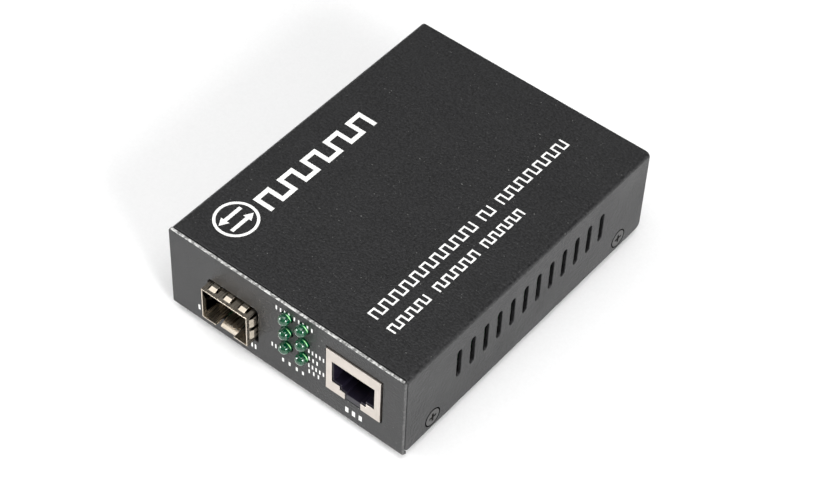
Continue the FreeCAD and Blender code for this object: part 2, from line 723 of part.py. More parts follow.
# The bottom is open behind the front lip, where the floor plate goes in, and the lip is notched.
underside = new_sketch(cage, "XY_Plane", "cage_underside_outline", level=f"{BOARD_TOP} - cut_margin")
draw_box(underside, f"cage_wall - {CAGE_SIDE}", f"{CAGE_RIM} + lip_length",
         "cage_width - 2 * cage_wall", "cage_length - lip_length - cage_wall")
pocket(cage, underside, "cage_wall + 2 * cut_margin", "cage_underside")
notch = new_sketch(cage, "XY_Plane", "lip_notch_outline", level=f"{BOARD_TOP} - cut_margin")
draw_box(notch, "-notch_width / 2", f"{CAGE_RIM} - cut_margin",
         "notch_width", "lip_length + 2 * cut_margin")
pocket(cage, notch, "cage_wall + 2 * cut_margin", "lip_notch")

# Each spring finger is freed by a window in the wall and rises out of it, towards the panel.
WINDOW_WIDTH = "(finger_width + 2 * finger_slit)"
SIDE_WINDOW_WIDTH = "(side_finger_width + 2 * finger_slit)"
FIRST_FINGER = "(-finger_pitch * (finger_count - 1) / 2)"
top_window = new_sketch(cage, "XY_Plane", "top_window_outline",
                        level=f"{CAGE_TOP} - cage_wall - cut_margin")
draw_box(top_window, f"{FIRST_FINGER} - {WINDOW_WIDTH} / 2", f"{FINGER_START} + cage_wall",
         WINDOW_WIDTH, "finger_length")
window_cut = pocket(cage, top_window, "cage_wall + 2 * cut_margin", "top_window")
top_finger = new_sketch(cage, "YZ_Plane", "top_finger_profile", level=f"{FIRST_FINGER} - finger_width / 2")
draw_outline(top_finger, sprung_profile(CAGE_TOP))
finger_pad = pad(cage, top_finger, "finger_width", "top_finger")
pattern(cage, [window_cut, finger_pad], "X_Axis", "finger_pitch", "finger_count",
        "top_fingers", grows=False)

side_features = []
for index in range(round(number("side_finger_count"))):
    finger_level = f"({BOARD_TOP} + side_finger_level + {index} * side_finger_pitch)"
    side_window = new_sketch(cage, "YZ_Plane", f"side_window_{index}_outline",
                             level=f"{CAGE_SIDE} - cage_wall - cage_fit")
    draw_box(side_window, f"{FINGER_START} + cage_wall", f"{finger_level} - {SIDE_WINDOW_WIDTH} / 2",
             "finger_length", SIDE_WINDOW_WIDTH)
    side_features.append(pocket(cage, side_window, "cage_wall + 2 * cut_margin", f"side_window_{index}"))
    side_finger = new_sketch(cage, "XY_Plane", f"side_finger_{index}_profile",
                             level=f"{finger_level} - side_finger_width / 2")
    draw_outline(side_finger, sprung_profile(CAGE_SIDE, sideways=True))
    side_features.append(pad(cage, side_finger, "side_finger_width", f"side_finger_{index}"))
mirror(cage, side_features, "YZ_Plane", "side_fingers", grows=False)

# ------------------------------------------------------------- the cage's floor and its tongue

FLOOR_SIDE = f"({CAGE_SIDE} - cage_wall - cage_fit)"
FLOOR_FRONT = f"({CAGE_RIM} + lip_length + cage_fit)"
TONGUE_TIP = f"({CAGE_RIM} + tongue_setback + ramp_length)"
TONGUE_ROOT = f"({TONGUE_TIP} + tongue_length)"
floor = new_body("sfp_cage_floor")
floor_plan = new_sketch(floor, "XY_Plane", "floor_plan", level=BOARD_TOP)
draw_outline(floor_plan, [
    (f"{CAGE_X} - {FLOOR_SIDE}", FLOOR_FRONT),
    (f"{CAGE_X} - tongue_width / 2 - tongue_slit", FLOOR_FRONT),
    (f"{CAGE_X} - tongue_width / 2 - tongue_slit", TONGUE_ROOT),
    (f"{CAGE_X} - tongue_width / 2", TONGUE_ROOT),
    (f"{CAGE_X} - tongue_width / 2", TONGUE_TIP),
    (f"{CAGE_X} + tongue_width / 2", TONGUE_TIP),
    (f"{CAGE_X} + tongue_width / 2", TONGUE_ROOT),
    (f"{CAGE_X} + tongue_width / 2 + tongue_slit", TONGUE_ROOT),
    (f"{CAGE_X} + tongue_width / 2 + tongue_slit", FLOOR_FRONT),
    (f"{CAGE_X} + {FLOOR_SIDE}", FLOOR_FRONT),
    (f"{CAGE_X} + {FLOOR_SIDE}", f"{CONNECTOR_FACE} - cage_fit"),
    (f"{CAGE_X} - {FLOOR_SIDE}", f"{CONNECTOR_FACE} - cage_fit"),
])
pad(floor, floor_plan, "cage_wall", "floor_plate")
ramp = new_sketch(floor, "YZ_Plane", "tongue_ramp_profile", level=f"{CAGE_X} - tongue_width / 2")
draw_outline(ramp, [
    (TONGUE_TIP, BOARD_TOP),
    (TONGUE_TIP, f"{BOARD_TOP} + cage_wall"),
    (f"{TONGUE_TIP} - ramp_length", f"{BOARD_TOP} + cage_wall - ramp_drop"),
    (f"{TONGUE_TIP} - ramp_length", f"{BOARD_TOP} - ramp_drop"),
])
pad(floor, ramp, "tongue_width", "tongue_ramp")

# ----------------------------------------------------------------- the 20-way card connector

CONNECTOR_SLOT = f"({BOARD_TOP} + card_slot_level)"
CHANNEL = "(card_contact_gauge + 2 * cage_fit)"
connector = block("sfp_connector_housing", f"{CAGE_X} - connector_width / 2", CONNECTOR_FACE, BOARD_TOP,
                  "connector_width", "connector_depth", "connector_height")
card_slot = new_sketch(connector, "XZ_Plane", "card_slot_outline", level=f"{CONNECTOR_FACE} - cut_margin")
draw_box(card_slot, f"{CAGE_X} - card_slot_width / 2", f"{CONNECTOR_SLOT} - card_slot_height / 2",
         "card_slot_width", "card_slot_height")
pocket(connector, card_slot, "card_slot_depth + cut_margin", "card_slot")
channels = new_sketch(connector, "XZ_Plane", "contact_channels_outline",
                      level=f"{CONNECTOR_FACE} + cut_margin")
for bottom in (f"{CONNECTOR_SLOT} + card_slot_height / 2",
               f"{CONNECTOR_SLOT} - card_slot_height / 2 - {CHANNEL}"):
    draw_box(channels, f"{CAGE_X} - card_slot_width / 2", bottom, "card_slot_width", CHANNEL)
pocket(connector, channels, "connector_depth", "contact_channels")

card_contacts = new_body("sfp_connector_contacts")
CONTACT_START = f"({CONNECTOR_FACE} + cut_margin + cage_fit)"
CONTACT_BACK = f"({CONNECTOR_FACE} + connector_depth + cage_fit)"
first_contact = f"{CAGE_X} - card_contact_pitch * (card_contact_count - 1) / 2 - card_contact_width / 2"
for name, bottom, stand_back in (
    ("upper", f"{CONNECTOR_SLOT} + card_slot_height / 2 + cage_fit", "4 * card_contact_gauge"),
    ("lower", f"{CONNECTOR_SLOT} - card_slot_height / 2 - {CHANNEL} + cage_fit", "0"),
):
    leg = f"{CONTACT_BACK} + {stand_back}"
    strip = new_sketch(card_contacts, "YZ_Plane", f"{name}_contact_profile", level=first_contact)
    draw_outline(strip, [
        (CONTACT_START, bottom),
        (leg, bottom),
        (leg, BOARD_TOP),
        (f"{leg} + card_contact_gauge", BOARD_TOP),
        (f"{leg} + card_contact_gauge", f"{bottom} + card_contact_gauge"),
        (CONTACT_START, f"{bottom} + card_contact_gauge"),
    ])
    contact = pad(card_contacts, strip, "card_contact_width", f"{name}_contact")
    pattern(card_contacts, [contact], "X_Axis", "card_contact_pitch", "card_contact_count",
            f"{name}_contacts", grows=True)

# ------------------------------------------------------------------- the copper port's shield

JACK_LEFT = f"({JACK_X} - jack_width / 2)"
WINDOW_LOW = f"({JACK_BOTTOM} + window_bottom)"
WINDOW_HIGH = f"({JACK_BOTTOM} + window_top)"
KEY_LOW = f"({JACK_BOTTOM} + key_bottom)"


def socket_outline(margin, latch_bottom):
    """The plug's outline, in from the shield's window by margin: body, key step and latch slot."""
    half_window = f"(window_width / 2 - {margin})"
    half_key = f"(key_width / 2 - {margin})"
    half_latch = f"(latch_width / 2 - {margin} / 2)"
    right = [
        (half_latch, latch_bottom),
        (half_latch, f"{KEY_LOW} + {margin}"),
        (half_key, f"{KEY_LOW} + {margin}"),
        (half_key, f"{WINDOW_LOW} + {margin}"),
        (half_window, f"{WINDOW_LOW} + {margin}"),
        (half_window, f"{WINDOW_HIGH} - {margin}"),
    ]
    corners = [(f"{JACK_X} + {across}", up) for across, up in right]
    corners += [(f"{JACK_X} - {across}", up) for across, up in reversed(right)]
    return corners


shield = block("rj45_shield", JACK_LEFT, JACK_FACE, JACK_BOTTOM, "jack_width", "jack_depth", "jack_height")
shield_hollow = new_sketch(shield, "XY_Plane", "shield_hollow_outline", level=f"{JACK_BOTTOM} - cut_margin")
draw_box(shield_hollow, f"{JACK_LEFT} + jack_wall", f"{JACK_FACE} + jack_wall",
         "jack_width - 2 * jack_wall", JACK_INSIDE)
pocket(shield, shield_hollow, "jack_height - jack_wall + cut_margin", "shield_hollow")
window = new_sketch(shield, "XZ_Plane", "shield_window_outline", level=f"{JACK_FACE} - cut_margin")
draw_outline(window, socket_outline("0", f"{JACK_BOTTOM} - cut_margin"))
pocket(shield, window, "jack_wall + 2 * cut_margin", "shield_window")

# ----------------------------------------------------------------- its moulding and contacts

MOULDING_FRONT = f"({JACK_FACE} + jack_wall + jack_fit)"
MOULDING_DEPTH = f"({JACK_INSIDE} - jack_fit - jack_rear_room)"
MOULDING_TOP = f"({JACK_BOTTOM} + jack_height - jack_wall - jack_fit)"
SOCKET_ROOF = f"({WINDOW_HIGH} - window_margin)"
WIRE_CHANNEL = "(wire_gauge + 2 * jack_fit)"
WIRE_ROW = "(wire_pitch * (wire_count - 1) + wire_width + 2 * jack_fit)"
moulding = block("rj45_housing", f"{JACK_LEFT} + jack_wall + jack_fit", MOULDING_FRONT, JACK_BOTTOM,
                 "jack_width - 2 * (jack_wall + jack_fit)", MOULDING_DEPTH,
                 f"{MOULDING_TOP} - {JACK_BOTTOM}")
jack_feet = new_sketch(moulding, "XY_Plane", "jack_feet_plan", level=BOARD_TOP)
FEET_FRONT = f"({BOARD_FRONT} + jack_fit)"
for left in (f"{JACK_LEFT} + jack_wall + jack_fit",
             f"{JACK_LEFT} + jack_width - jack_wall - jack_fit - jack_foot_width"):
    draw_box(jack_feet, left, FEET_FRONT,
             "jack_foot_width", f"{MOULDING_FRONT} + {MOULDING_DEPTH} - {FEET_FRONT}")
pad(moulding, jack_feet, "jack_lift", "jack_feet")
socket = new_sketch(moulding, "XZ_Plane", "socket_outline", level=f"{MOULDING_FRONT} - cut_margin")
draw_outline(socket, socket_outline("window_margin", f"{JACK_BOTTOM} + latch_floor"))
pocket(moulding, socket, "socket_depth + cut_margin", "socket")
wire_channel = new_sketch(moulding, "XZ_Plane", "wire_channel_outline",
                          level=f"{MOULDING_FRONT} + wire_front_inset")
draw_box(wire_channel, f"{JACK_X} - {WIRE_ROW} / 2", SOCKET_ROOF, WIRE_ROW, WIRE_CHANNEL)
pocket(moulding, wire_channel, f"{MOULDING_DEPTH}", "wire_channel")

wires = new_body("rj45_contacts")
WIRE_FRONT = f"({MOULDING_FRONT} + wire_front_inset + jack_fit)"
WIRE_BACK = f"({MOULDING_FRONT} + {MOULDING_DEPTH} + jack_fit)"
WIRE_LEVEL = f"({SOCKET_ROOF} + jack_fit)"
wire = new_sketch(wires, "YZ_Plane", "wire_profile",
                  level=f"{JACK_X} - wire_pitch * (wire_count - 1) / 2 - wire_width / 2")
draw_outline(wire, [
    (WIRE_BACK, BOARD_TOP),
    (f"{WIRE_BACK} + wire_gauge", BOARD_TOP),
    (f"{WIRE_BACK} + wire_gauge", f"{WIRE_LEVEL} + wire_gauge"),
    (WIRE_FRONT, f"{WIRE_LEVEL} + wire_gauge"),
    (WIRE_FRONT, WIRE_LEVEL),
    (f"{WIRE_FRONT} + wire_reach", f"{WIRE_LEVEL} - wire_drop"),
    (f"{WIRE_FRONT} + wire_reach", f"{WIRE_LEVEL} - wire_drop + wire_gauge"),
    (f"{WIRE_FRONT} + wire_gauge", WIRE_LEVEL),
    (WIRE_BACK, WIRE_LEVEL),
])
one_wire = pad(wires, wire, "wire_width", "wire")
pattern(wires, [one_wire], "X_Axis", "wire_pitch", "wire_count", "wire_row", grows=True)

# --------------------------------------------------------------------------------- the lamps

HOLDER_FRONT = f"({PANEL_BACK} + holder_setback)"
HOLDER_TOP = "(lamp_row + 2 * lamp_row_pitch + holder_crown)"
LAMP_TIP = f"({FRONT} - lamp_proud)"
lead_bodies = new_body("led_leads")
for column, side_name in enumerate(("left", "right")):
    column_x = f"(lamp_column + {column} * lamp_column_pitch)"
    holder = block(f"led_holder_{side_name}", f"{column_x} - holder_width / 2", HOLDER_FRONT, BOARD_TOP,
                   "holder_width", "holder_depth", f"{HOLDER_TOP} - {BOARD_TOP}")
    bores = new_sketch(holder, "XZ_Plane", f"{side_name}_lamp_bores_outline",
                       level=f"{HOLDER_FRONT} - cut_margin")
    for row, row_name in enumerate(("bottom", "middle", "top")):
        row_z = f"(lamp_row + {row} * lamp_row_pitch)"
        draw_circle(bores, column_x, row_z, "lamp_radius + lamp_fit")

        # A lamp is a round-nosed cylinder of tinted resin; its nose is turned in a few bands.
        lamp = new_body(f"led_{side_name}_{row_name}")
        half = new_sketch(lamp, "YZ_Plane", f"{side_name}_{row_name}_profile", level=column_x, up=row_z)
        bands = round(number("nose_bands"))
        profile = [(LAMP_BACK, "0"), (LAMP_BACK, "lamp_radius")]
        for band in range(bands + 1):
            turn = HALF_TURN / 2 * band / bands
            profile.append((f"{LAMP_TIP} + lamp_radius * (1 - sin({turn}))", f"lamp_radius * cos({turn})"))
        draw_outline(half, profile)
        revolve(lamp, half, f"{side_name}_{row_name}_lens")

        # Its two leads run back from it and bend down to the board, the upper ones further out.
        bend = f"{HOLDER_FRONT} + holder_depth + {row + 1} * lead_step"
        for lead, sign in enumerate(("-", "+")):
            lead_side = f"{column_x} {sign} lead_spread / 2 - lead_width / 2"
            bent = new_sketch(lead_bodies, "YZ_Plane", f"{side_name}_{row_name}_lead_{lead}_profile",
                              level=lead_side)
            draw_outline(bent, [
                (LAMP_BACK, f"{row_z} - lead_width / 2"),
                (bend, f"{row_z} - lead_width / 2"),
                (bend, BOARD_TOP),
                (f"{bend} + lead_width", BOARD_TOP),
                (f"{bend} + lead_width", f"{row_z} + lead_width / 2"),
                (LAMP_BACK, f"{row_z} + lead_width / 2"),
            ])
            pad(lead_bodies, bent, "lead_width", f"{side_name}_{row_name}_lead_{lead}")
    pocket(holder, bores, "holder_depth + 2 * cut_margin", f"{side_name}_lamp_bores")

# ------------------------------------------------------------------------- the power inlet

SPRING_SLOT_TOP = f"({INLET_AXIS} - inlet_bore_radius + 2 * inlet_slot_gap)"
SPRING_BOTTOM = f"({INLET_AXIS} - inlet_bore_radius - inlet_spring_gauge - inlet_slot_gap)"
inlet = block("dc_jack_housing", f"{INLET_X} - inlet_width / 2", INLET_FRONT, BOARD_TOP,
              "inlet_width", "inlet_depth", "inlet_height")
inlet_bore = new_sketch(inlet, "XZ_Plane", "inlet_bore_outline", level=f"{INLET_FACE} - inlet_bore_depth")
draw_circle(inlet_bore, INLET_X, INLET_AXIS, "inlet_bore_radius")
pocket(inlet, inlet_bore, "inlet_bore_depth + cut_margin", "inlet_bore")
pin_hole = new_sketch(inlet, "XZ_Plane", "pin_hole_outline", level=f"{INLET_FRONT} - cut_margin")
draw_circle(pin_hole, INLET_X, INLET_AXIS, "inlet_pin_tail_radius + screw_fit")
pocket(inlet, pin_hole, "inlet_depth - inlet_bore_depth + 2 * cut_margin", "pin_hole")
spring_slot = new_sketch(inlet, "XZ_Plane", "spring_slot_outline", level=f"{INLET_FRONT} - cut_margin")
draw_box(spring_slot, f"{INLET_X} - inlet_spring_width / 2 - inlet_slot_gap",
         f"{SPRING_BOTTOM} - inlet_slot_gap", "inlet_spring_width + 2 * inlet_slot_gap",
         f"{SPRING_SLOT_TOP} - {SPRING_BOTTOM} + inlet_slot_gap")
pocket(inlet, spring_slot, "inlet_depth - inlet_setback + cut_margin - inlet_slot_gap", "spring_slot")

pin = new_body("dc_jack_pin")
PIN_SEAT = f"({INLET_FACE} - inlet_bore_depth)"
pin_profile = new_sketch(pin, "YZ_Plane", "pin_profile", level=INLET_X, up=INLET_AXIS)
draw_outline(pin_profile, [
    (INLET_FRONT, "0"),
    (INLET_FRONT, "inlet_pin_tail_radius"),
    (PIN_SEAT, "inlet_pin_tail_radius"),
    (PIN_SEAT, "inlet_pin_radius"),
    (f"{PIN_SEAT} + inlet_pin_length - inlet_pin_radius / 2", "inlet_pin_radius"),
    (f"{PIN_SEAT} + inlet_pin_length", "inlet_pin_radius / 2"),
    (f"{PIN_SEAT} + inlet_pin_length", "0"),
])
revolve(pin, pin_profile, "turned_pin")

spring = new_body("dc_jack_spring")
SPRING_BACK = f"({INLET_FRONT} - inlet_slot_gap - inlet_spring_gauge)"
leaf = new_sketch(spring, "YZ_Plane", "leaf_profile", level=f"{INLET_X} - inlet_spring_width / 2")
draw_outline(leaf, [
    (SPRING_BACK, BOARD_TOP),
    (f"{SPRING_BACK} + inlet_spring_gauge", BOARD_TOP),
    (f"{SPRING_BACK} + inlet_spring_gauge", SPRING_BOTTOM),
    (f"{SPRING_BACK} + inlet_spring_length", SPRING_BOTTOM),
    (f"{SPRING_BACK} + inlet_spring_length", f"{SPRING_BOTTOM} + inlet_spring_gauge"),
    (SPRING_BACK, f"{SPRING_BOTTOM} + inlet_spring_gauge"),
])
pad(spring, leaf, "inlet_spring_width", "leaf")

# -------------------------------------------------------------- the circuit's standing parts


def seated(label, across, along, width, depth, height):
    """A rectangular part that stands on the board about one point."""
    left = f"{across} - ({width}) / 2"
    front = f"{along} - ({depth}) / 2"
    return block(label, left, front, BOARD_TOP, width, depth, height)


def bevel_top(body, across, along, width, depth, height, bevel):
    """Bevel the four top edges of a seated part, as its mould drafts them."""
    top = f"{BOARD_TOP} + {height}"
    places = [{"x": f"{across} {sign} ({width}) / 2", "z": top} for sign in "-+"]
    places += [{"y": f"{along} {sign} ({depth}) / 2", "z": top} for sign in "-+"]
    soften(body, "PartDesign::Chamfer", bevel, places, f"{body.Label}_bevel", grows=False)


chip = seated("converter_chip", "chip_x", "chip_y", "chip_width", "chip_width", "chip_height")
bevel_top(chip, "chip_x", "chip_y", "chip_width", "chip_width", "chip_height", "chip_bevel")
memory = seated("memory_chip", "memory_x", "memory_y", "memory_width", "memory_depth", "memory_height")
bevel_top(memory, "memory_x", "memory_y", "memory_width", "memory_depth", "memory_height", "chip_bevel")
regulator = seated("voltage_regulator", "regulator_x", "regulator_y",
                   "regulator_width", "regulator_depth", "regulator_height")
bevel_top(regulator, "regulator_x", "regulator_y",
          "regulator_width", "regulator_depth", "regulator_height", "chip_bevel")

# The line transformer sits behind the copper port on two rows of bent leads.
TRANSFORMER_Y = f"({JACK_FACE} + jack_depth + transformer_gap)"
transformer = seated("line_transformer", JACK_X, TRANSFORMER_Y,
                     "transformer_width", "transformer_depth", "transformer_height")
LEAD_ROW = "(transformer_lead_pitch * (transformer_lead_count - 1) + transformer_lead_width)"
lead_profile = new_sketch(transformer, "YZ_Plane", "transformer_lead_profile",
                          level=f"{JACK_X} - {LEAD_ROW} / 2")
for sign in "-+":
    edge = f"({TRANSFORMER_Y} {sign} transformer_depth / 2)"
    draw_outline(lead_profile, [
        (edge, BOARD_TOP),
        (f"{edge} {sign} transformer_lead_reach", BOARD_TOP),
        (f"{edge} {sign} transformer_lead_reach", f"{BOARD_TOP} + transformer_lead_gauge"),
        (edge, f"{BOARD_TOP} + transformer_lead_gauge"),
    ])
lead_pair = pad(transformer, lead_profile, "transformer_lead_width", "transformer_leads")
pattern(transformer, [lead_pair], "X_Axis", "transformer_lead_pitch", "transformer_lead_count",
        "transformer_lead_rows", grows=True)

crystal = seated("crystal_can", "crystal_x", "crystal_y",
                 "crystal_width", "crystal_depth", "crystal_height")
soften(crystal, "PartDesign::Fillet", "crystal_depth / 2 - cage_fit",
       [{"x": f"crystal_x {a} crystal_width / 2", "y": f"crystal_y {b} crystal_depth / 2"}
        for a in "-+" for b in "-+"], "crystal_round_ends", grows=False)

inductor = seated("power_inductor", "inductor_x", "inductor_y", "inductor_width", "inductor_width",
                  "inductor_height")
soften(inductor, "PartDesign::Chamfer", "inductor_bevel",
       [{"x": f"inductor_x {a} inductor_width / 2", "y": f"inductor_y {b} inductor_width / 2"}
        for a in "-+" for b in "-+"], "inductor_corners", grows=False)

for label, sign in (("input_capacitor", "+"), ("output_capacitor", "-")):
    can = new_body(label)
    can_profile = new_sketch(can, "XZ_Plane", f"{label}_profile", level=f"{REAR} - capacitor_rear_inset",
                             right=f"capacitor_row_x {sign} capacitor_spread / 2", up=BOARD_TOP)
    draw_outline(can_profile, [
        ("0", "0"),
        ("capacitor_radius", "0"),
        ("capacitor_radius", "capacitor_height"),
        ("0", "capacitor_height"),
    ])
    revolve(can, can_profile, f"{label}_can", axis="V_Axis")

# ---------------------------------------------------------------------------- the rubber feet

for along_name, along in (("front", f"{FRONT} + foot_inset"), ("rear", f"{REAR} - foot_inset")):
    for side_name, across in (("left", f"-({SIDE} - foot_inset)"), ("right", f"{SIDE} - foot_inset")):
        foot = new_body(f"foot_{along_name}_{side_name}")
        foot_profile = new_sketch(foot, "XZ_Plane", f"{along_name}_{side_name}_profile",
                                  level=along, right=across)
        draw_outline(foot_profile, [
            ("0", "-foot_height"),
            ("foot_radius", "-foot_height"),
            ("foot_radius", "0"),
            ("0", "0"),
        ])
        revolve(foot, foot_profile, f"{along_name}_{side_name}_pad", axis="V_Axis")

# ------------------------------------------------------------------------ checks and the files

document.recompute()
failed = [item.Name for item in document.Objects if {"Invalid", "Error"} & set(item.State)]
if failed:
    raise RuntimeError(f"features failed: {failed}")
pieces = [item for item in document.Objects if item.TypeId == "PartDesign::Body"]
os.makedirs("parts", exist_ok=True)
for piece in pieces:
    if piece.Shape.isNull() or not piece.Shape.isValid():
        raise RuntimeError(f"{piece.Label} is not a valid solid")
for piece in pieces:
    piece.Shape.exportStep(f"parts/{piece.Label}.step")
print(f"{len(pieces)} pieces written")
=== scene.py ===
import math

import bpy
from mathutils import Matrix, Vector


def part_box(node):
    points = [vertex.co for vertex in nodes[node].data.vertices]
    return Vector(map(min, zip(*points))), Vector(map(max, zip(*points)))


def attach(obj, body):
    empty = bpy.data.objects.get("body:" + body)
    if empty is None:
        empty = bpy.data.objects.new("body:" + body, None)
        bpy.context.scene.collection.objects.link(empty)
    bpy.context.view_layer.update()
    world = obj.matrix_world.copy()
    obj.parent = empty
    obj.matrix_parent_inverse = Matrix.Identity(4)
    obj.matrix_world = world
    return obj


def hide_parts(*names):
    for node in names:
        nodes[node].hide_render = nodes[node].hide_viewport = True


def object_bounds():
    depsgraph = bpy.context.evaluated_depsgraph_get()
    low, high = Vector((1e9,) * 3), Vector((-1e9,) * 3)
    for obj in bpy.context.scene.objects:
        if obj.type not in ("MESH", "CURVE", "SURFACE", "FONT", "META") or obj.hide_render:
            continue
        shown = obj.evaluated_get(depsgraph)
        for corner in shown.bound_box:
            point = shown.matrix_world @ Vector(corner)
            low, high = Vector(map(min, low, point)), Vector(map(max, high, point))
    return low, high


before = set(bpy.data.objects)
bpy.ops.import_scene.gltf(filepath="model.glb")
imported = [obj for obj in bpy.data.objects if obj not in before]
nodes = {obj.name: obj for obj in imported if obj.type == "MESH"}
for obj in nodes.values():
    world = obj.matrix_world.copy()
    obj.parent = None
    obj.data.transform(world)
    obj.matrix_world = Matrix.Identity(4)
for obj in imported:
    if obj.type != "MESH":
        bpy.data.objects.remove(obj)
solid_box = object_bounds()
MM = 0.001

# ------------------------------------------------------------------ the bench, the light and the camera
# A sheet of matt white card that the converter stands on, lit by five soft boxes: one overhead, one high at
# the left, one low at the front left and two at the right. The air between them is dim, so that the dark
# lid stays dark, and a darker patch at the right rear stands for a black flag.


def linear(hex_code):
    """Turn an sRGB hex colour such as '#a0b0c0' to the linear colour that a shader takes."""
    channels = [int(hex_code[start:start + 2], 16) / 255 for start in (1, 3, 5)]
    return [c / 12.92 if c <= 0.04045 else ((c + 0.055) / 1.055) ** 2.4 for c in channels] + [1.0]


def add_node(owner, kind, values=(), links=(), stops=(), output=0, **settings):
    """Add one shader node with its settings, values, links and colour stops, and give back one output."""
    added = owner.node_tree.nodes.new(kind)
    for name, value in settings.items():
        setattr(added, name, value)
    for socket, value in values:
        added.inputs[socket].default_value = value
    for socket, source in links:
        owner.node_tree.links.new(source, added.inputs[socket])
    for index, (position, hex_code) in enumerate(stops):
        added.color_ramp.elements[index].position = position
        added.color_ramp.elements[index].color = linear(hex_code)
    return added.outputs[output]


def new_finish(name):
    """Start a material: its surface shader, and its object coordinates in millimetres."""
    material = bpy.data.materials.new(name)
    material.use_nodes = True
    shader = material.node_tree.nodes["Principled BSDF"]
    place = add_node(material, "ShaderNodeTexCoord", output="Object")
    millimetres = add_node(material, "ShaderNodeVectorMath", values=[(1, (1 / MM, 1 / MM, 1 / MM))],
                           links=[(0, place)], operation="MULTIPLY")
    return material, shader, millimetres


def set_shader(shader, **values):
    """Set plain inputs of a surface shader; underscores stand for the spaces in a socket's name."""
    for name, value in values.items():
        shader.inputs[name.replace("_", " ")].default_value = value


def grain(material, place, size_mm, detail=2.0, stretch=(1.0, 1.0, 1.0)):
    """A noise pattern whose lumps are about size_mm across, drawn out by the three factors of stretch."""
    lumps_per_mm = [1 / (size_mm * factor) for factor in stretch]
    stretched = add_node(material, "ShaderNodeVectorMath", values=[(1, lumps_per_mm)], links=[(0, place)],
                         operation="MULTIPLY")
    return add_node(material, "ShaderNodeTexNoise", values=[("Scale", 1.0), ("Detail", detail)],
                    links=[("Vector", stretched)], output="Fac")


def feed(owner, shader, **sources):
    """Link patterns to a shader's inputs; underscores stand for the spaces in a socket's name."""
    for name, source in sources.items():
        owner.node_tree.links.new(source, shader.inputs[name.replace("_", " ")])


CARD_SIZE = 2.2
bpy.ops.object.select_all(action="DESELECT")
bpy.ops.mesh.primitive_plane_add(size=CARD_SIZE, location=(0, 0, solid_box[0][2]))
card = bpy.context.object
card.name = "bench_card"
bpy.ops.object.transform_apply(location=True)
card_finish, card_shader, card_place = new_finish("pale matt card")
card_fibre = grain(card_finish, card_place, 0.6)
card_tone = add_node(card_finish, "ShaderNodeValToRGB", links=[(0, card_fibre)],
                     stops=[(0.3, "#f4f4f4"), (0.7, "#f7f7f7")])
feed(card_finish, card_shader, Base_Color=card_tone)
set_shader(card_shader, Roughness=0.9, Specular_IOR_Level=0.1)
card.data.materials.append(card_finish)

AIR_STRENGTH = 0.33
FLAG_STRENGTH = 0.03
FLAG_TOWARDS = (0.67, 0.48, 0.57)
FLAG_EDGE = 0.78
FLAG_CORE = 0.94
studio = bpy.data.worlds.new("studio")
bpy.context.scene.world = studio
studio.use_nodes = True
air = studio.node_tree.nodes["Background"]
air.inputs["Color"].default_value = (1.0, 1.0, 1.0, 1.0)
# The lid's right fold mirrors the flag as a dark line. The flag's edge and core are cosines of the angle
# from its middle.
heading = add_node(studio, "ShaderNodeTexCoord", output="Generated")
near_flag = add_node(studio, "ShaderNodeVectorMath", values=[(1, FLAG_TOWARDS)], links=[(0, heading)],
                     operation="DOT_PRODUCT", output="Value")
air_strength = add_node(studio, "ShaderNodeMapRange", links=[("Value", near_flag)],
                        values=[("From Min", FLAG_EDGE), ("From Max", FLAG_CORE),
                                ("To Min", AIR_STRENGTH), ("To Max", FLAG_STRENGTH)])
feed(studio, air, Strength=air_strength)
bpy.context.scene.view_settings.view_transform = "Standard"

BOX_DISTANCE = 1.3


def soft_box(name, towards, size, power):
    """Hang a square soft box in a direction from the object; size is in metres and power in watts."""
    bpy.ops.object.light_add(type="AREA", location=Vector(towards).normalized() * BOX_DISTANCE)
    lamp = bpy.context.object
    lamp.name = name
    lamp.data.size = size
    lamp.data.energy = power
    lamp.rotation_euler = lamp.location.to_track_quat("Z", "Y").to_euler()


soft_box("overhead_box", (0.20, -0.10, 0.97), size=0.9, power=8.5)
soft_box("left_high_box", (-0.43, -0.22, 0.87), size=0.8, power=2.6)
soft_box("left_box", (-0.78, -0.58, 0.24), size=0.48, power=12.0)
soft_box("right_box", (0.85, -0.31, 0.42), size=0.48, power=12.0)
soft_box("right_low_box", (0.92, -0.22, 0.34), size=0.6, power=5.0)

VIEW_FROM = Vector((217.36, -287.91, 408.76)) * MM
VIEW_RIGHT = Vector((0.774565, 0.631648, 0.032710))
VIEW_UP = Vector((-0.486424, 0.561832, 0.669138))
FOCAL_LENGTH = 97.58
SENSOR_WIDTH = 36.0
NEAREST_SEEN = 0.01
bpy.ops.object.camera_add(location=VIEW_FROM)
viewer = bpy.context.object
viewer.data.sensor_width = SENSOR_WIDTH
viewer.data.lens = FOCAL_LENGTH
viewer.data.clip_start = NEAREST_SEEN
viewer.rotation_euler = Matrix((VIEW_RIGHT, VIEW_UP, VIEW_RIGHT.cross(VIEW_UP))).transposed().to_euler()
bpy.context.scene.camera = viewer

# ------------------------------------------------------------------ the folded steel case
# Two folded sheets of 1 mm steel: a base tray with the front and rear panels, and a lid that screws down
# over it. Both are sprayed with a charcoal powder and baked. The powder rounds the cut edges and leaves a
# fine satin pebble.

paint, paint_shader, paint_place = new_finish("baked charcoal powder coat")
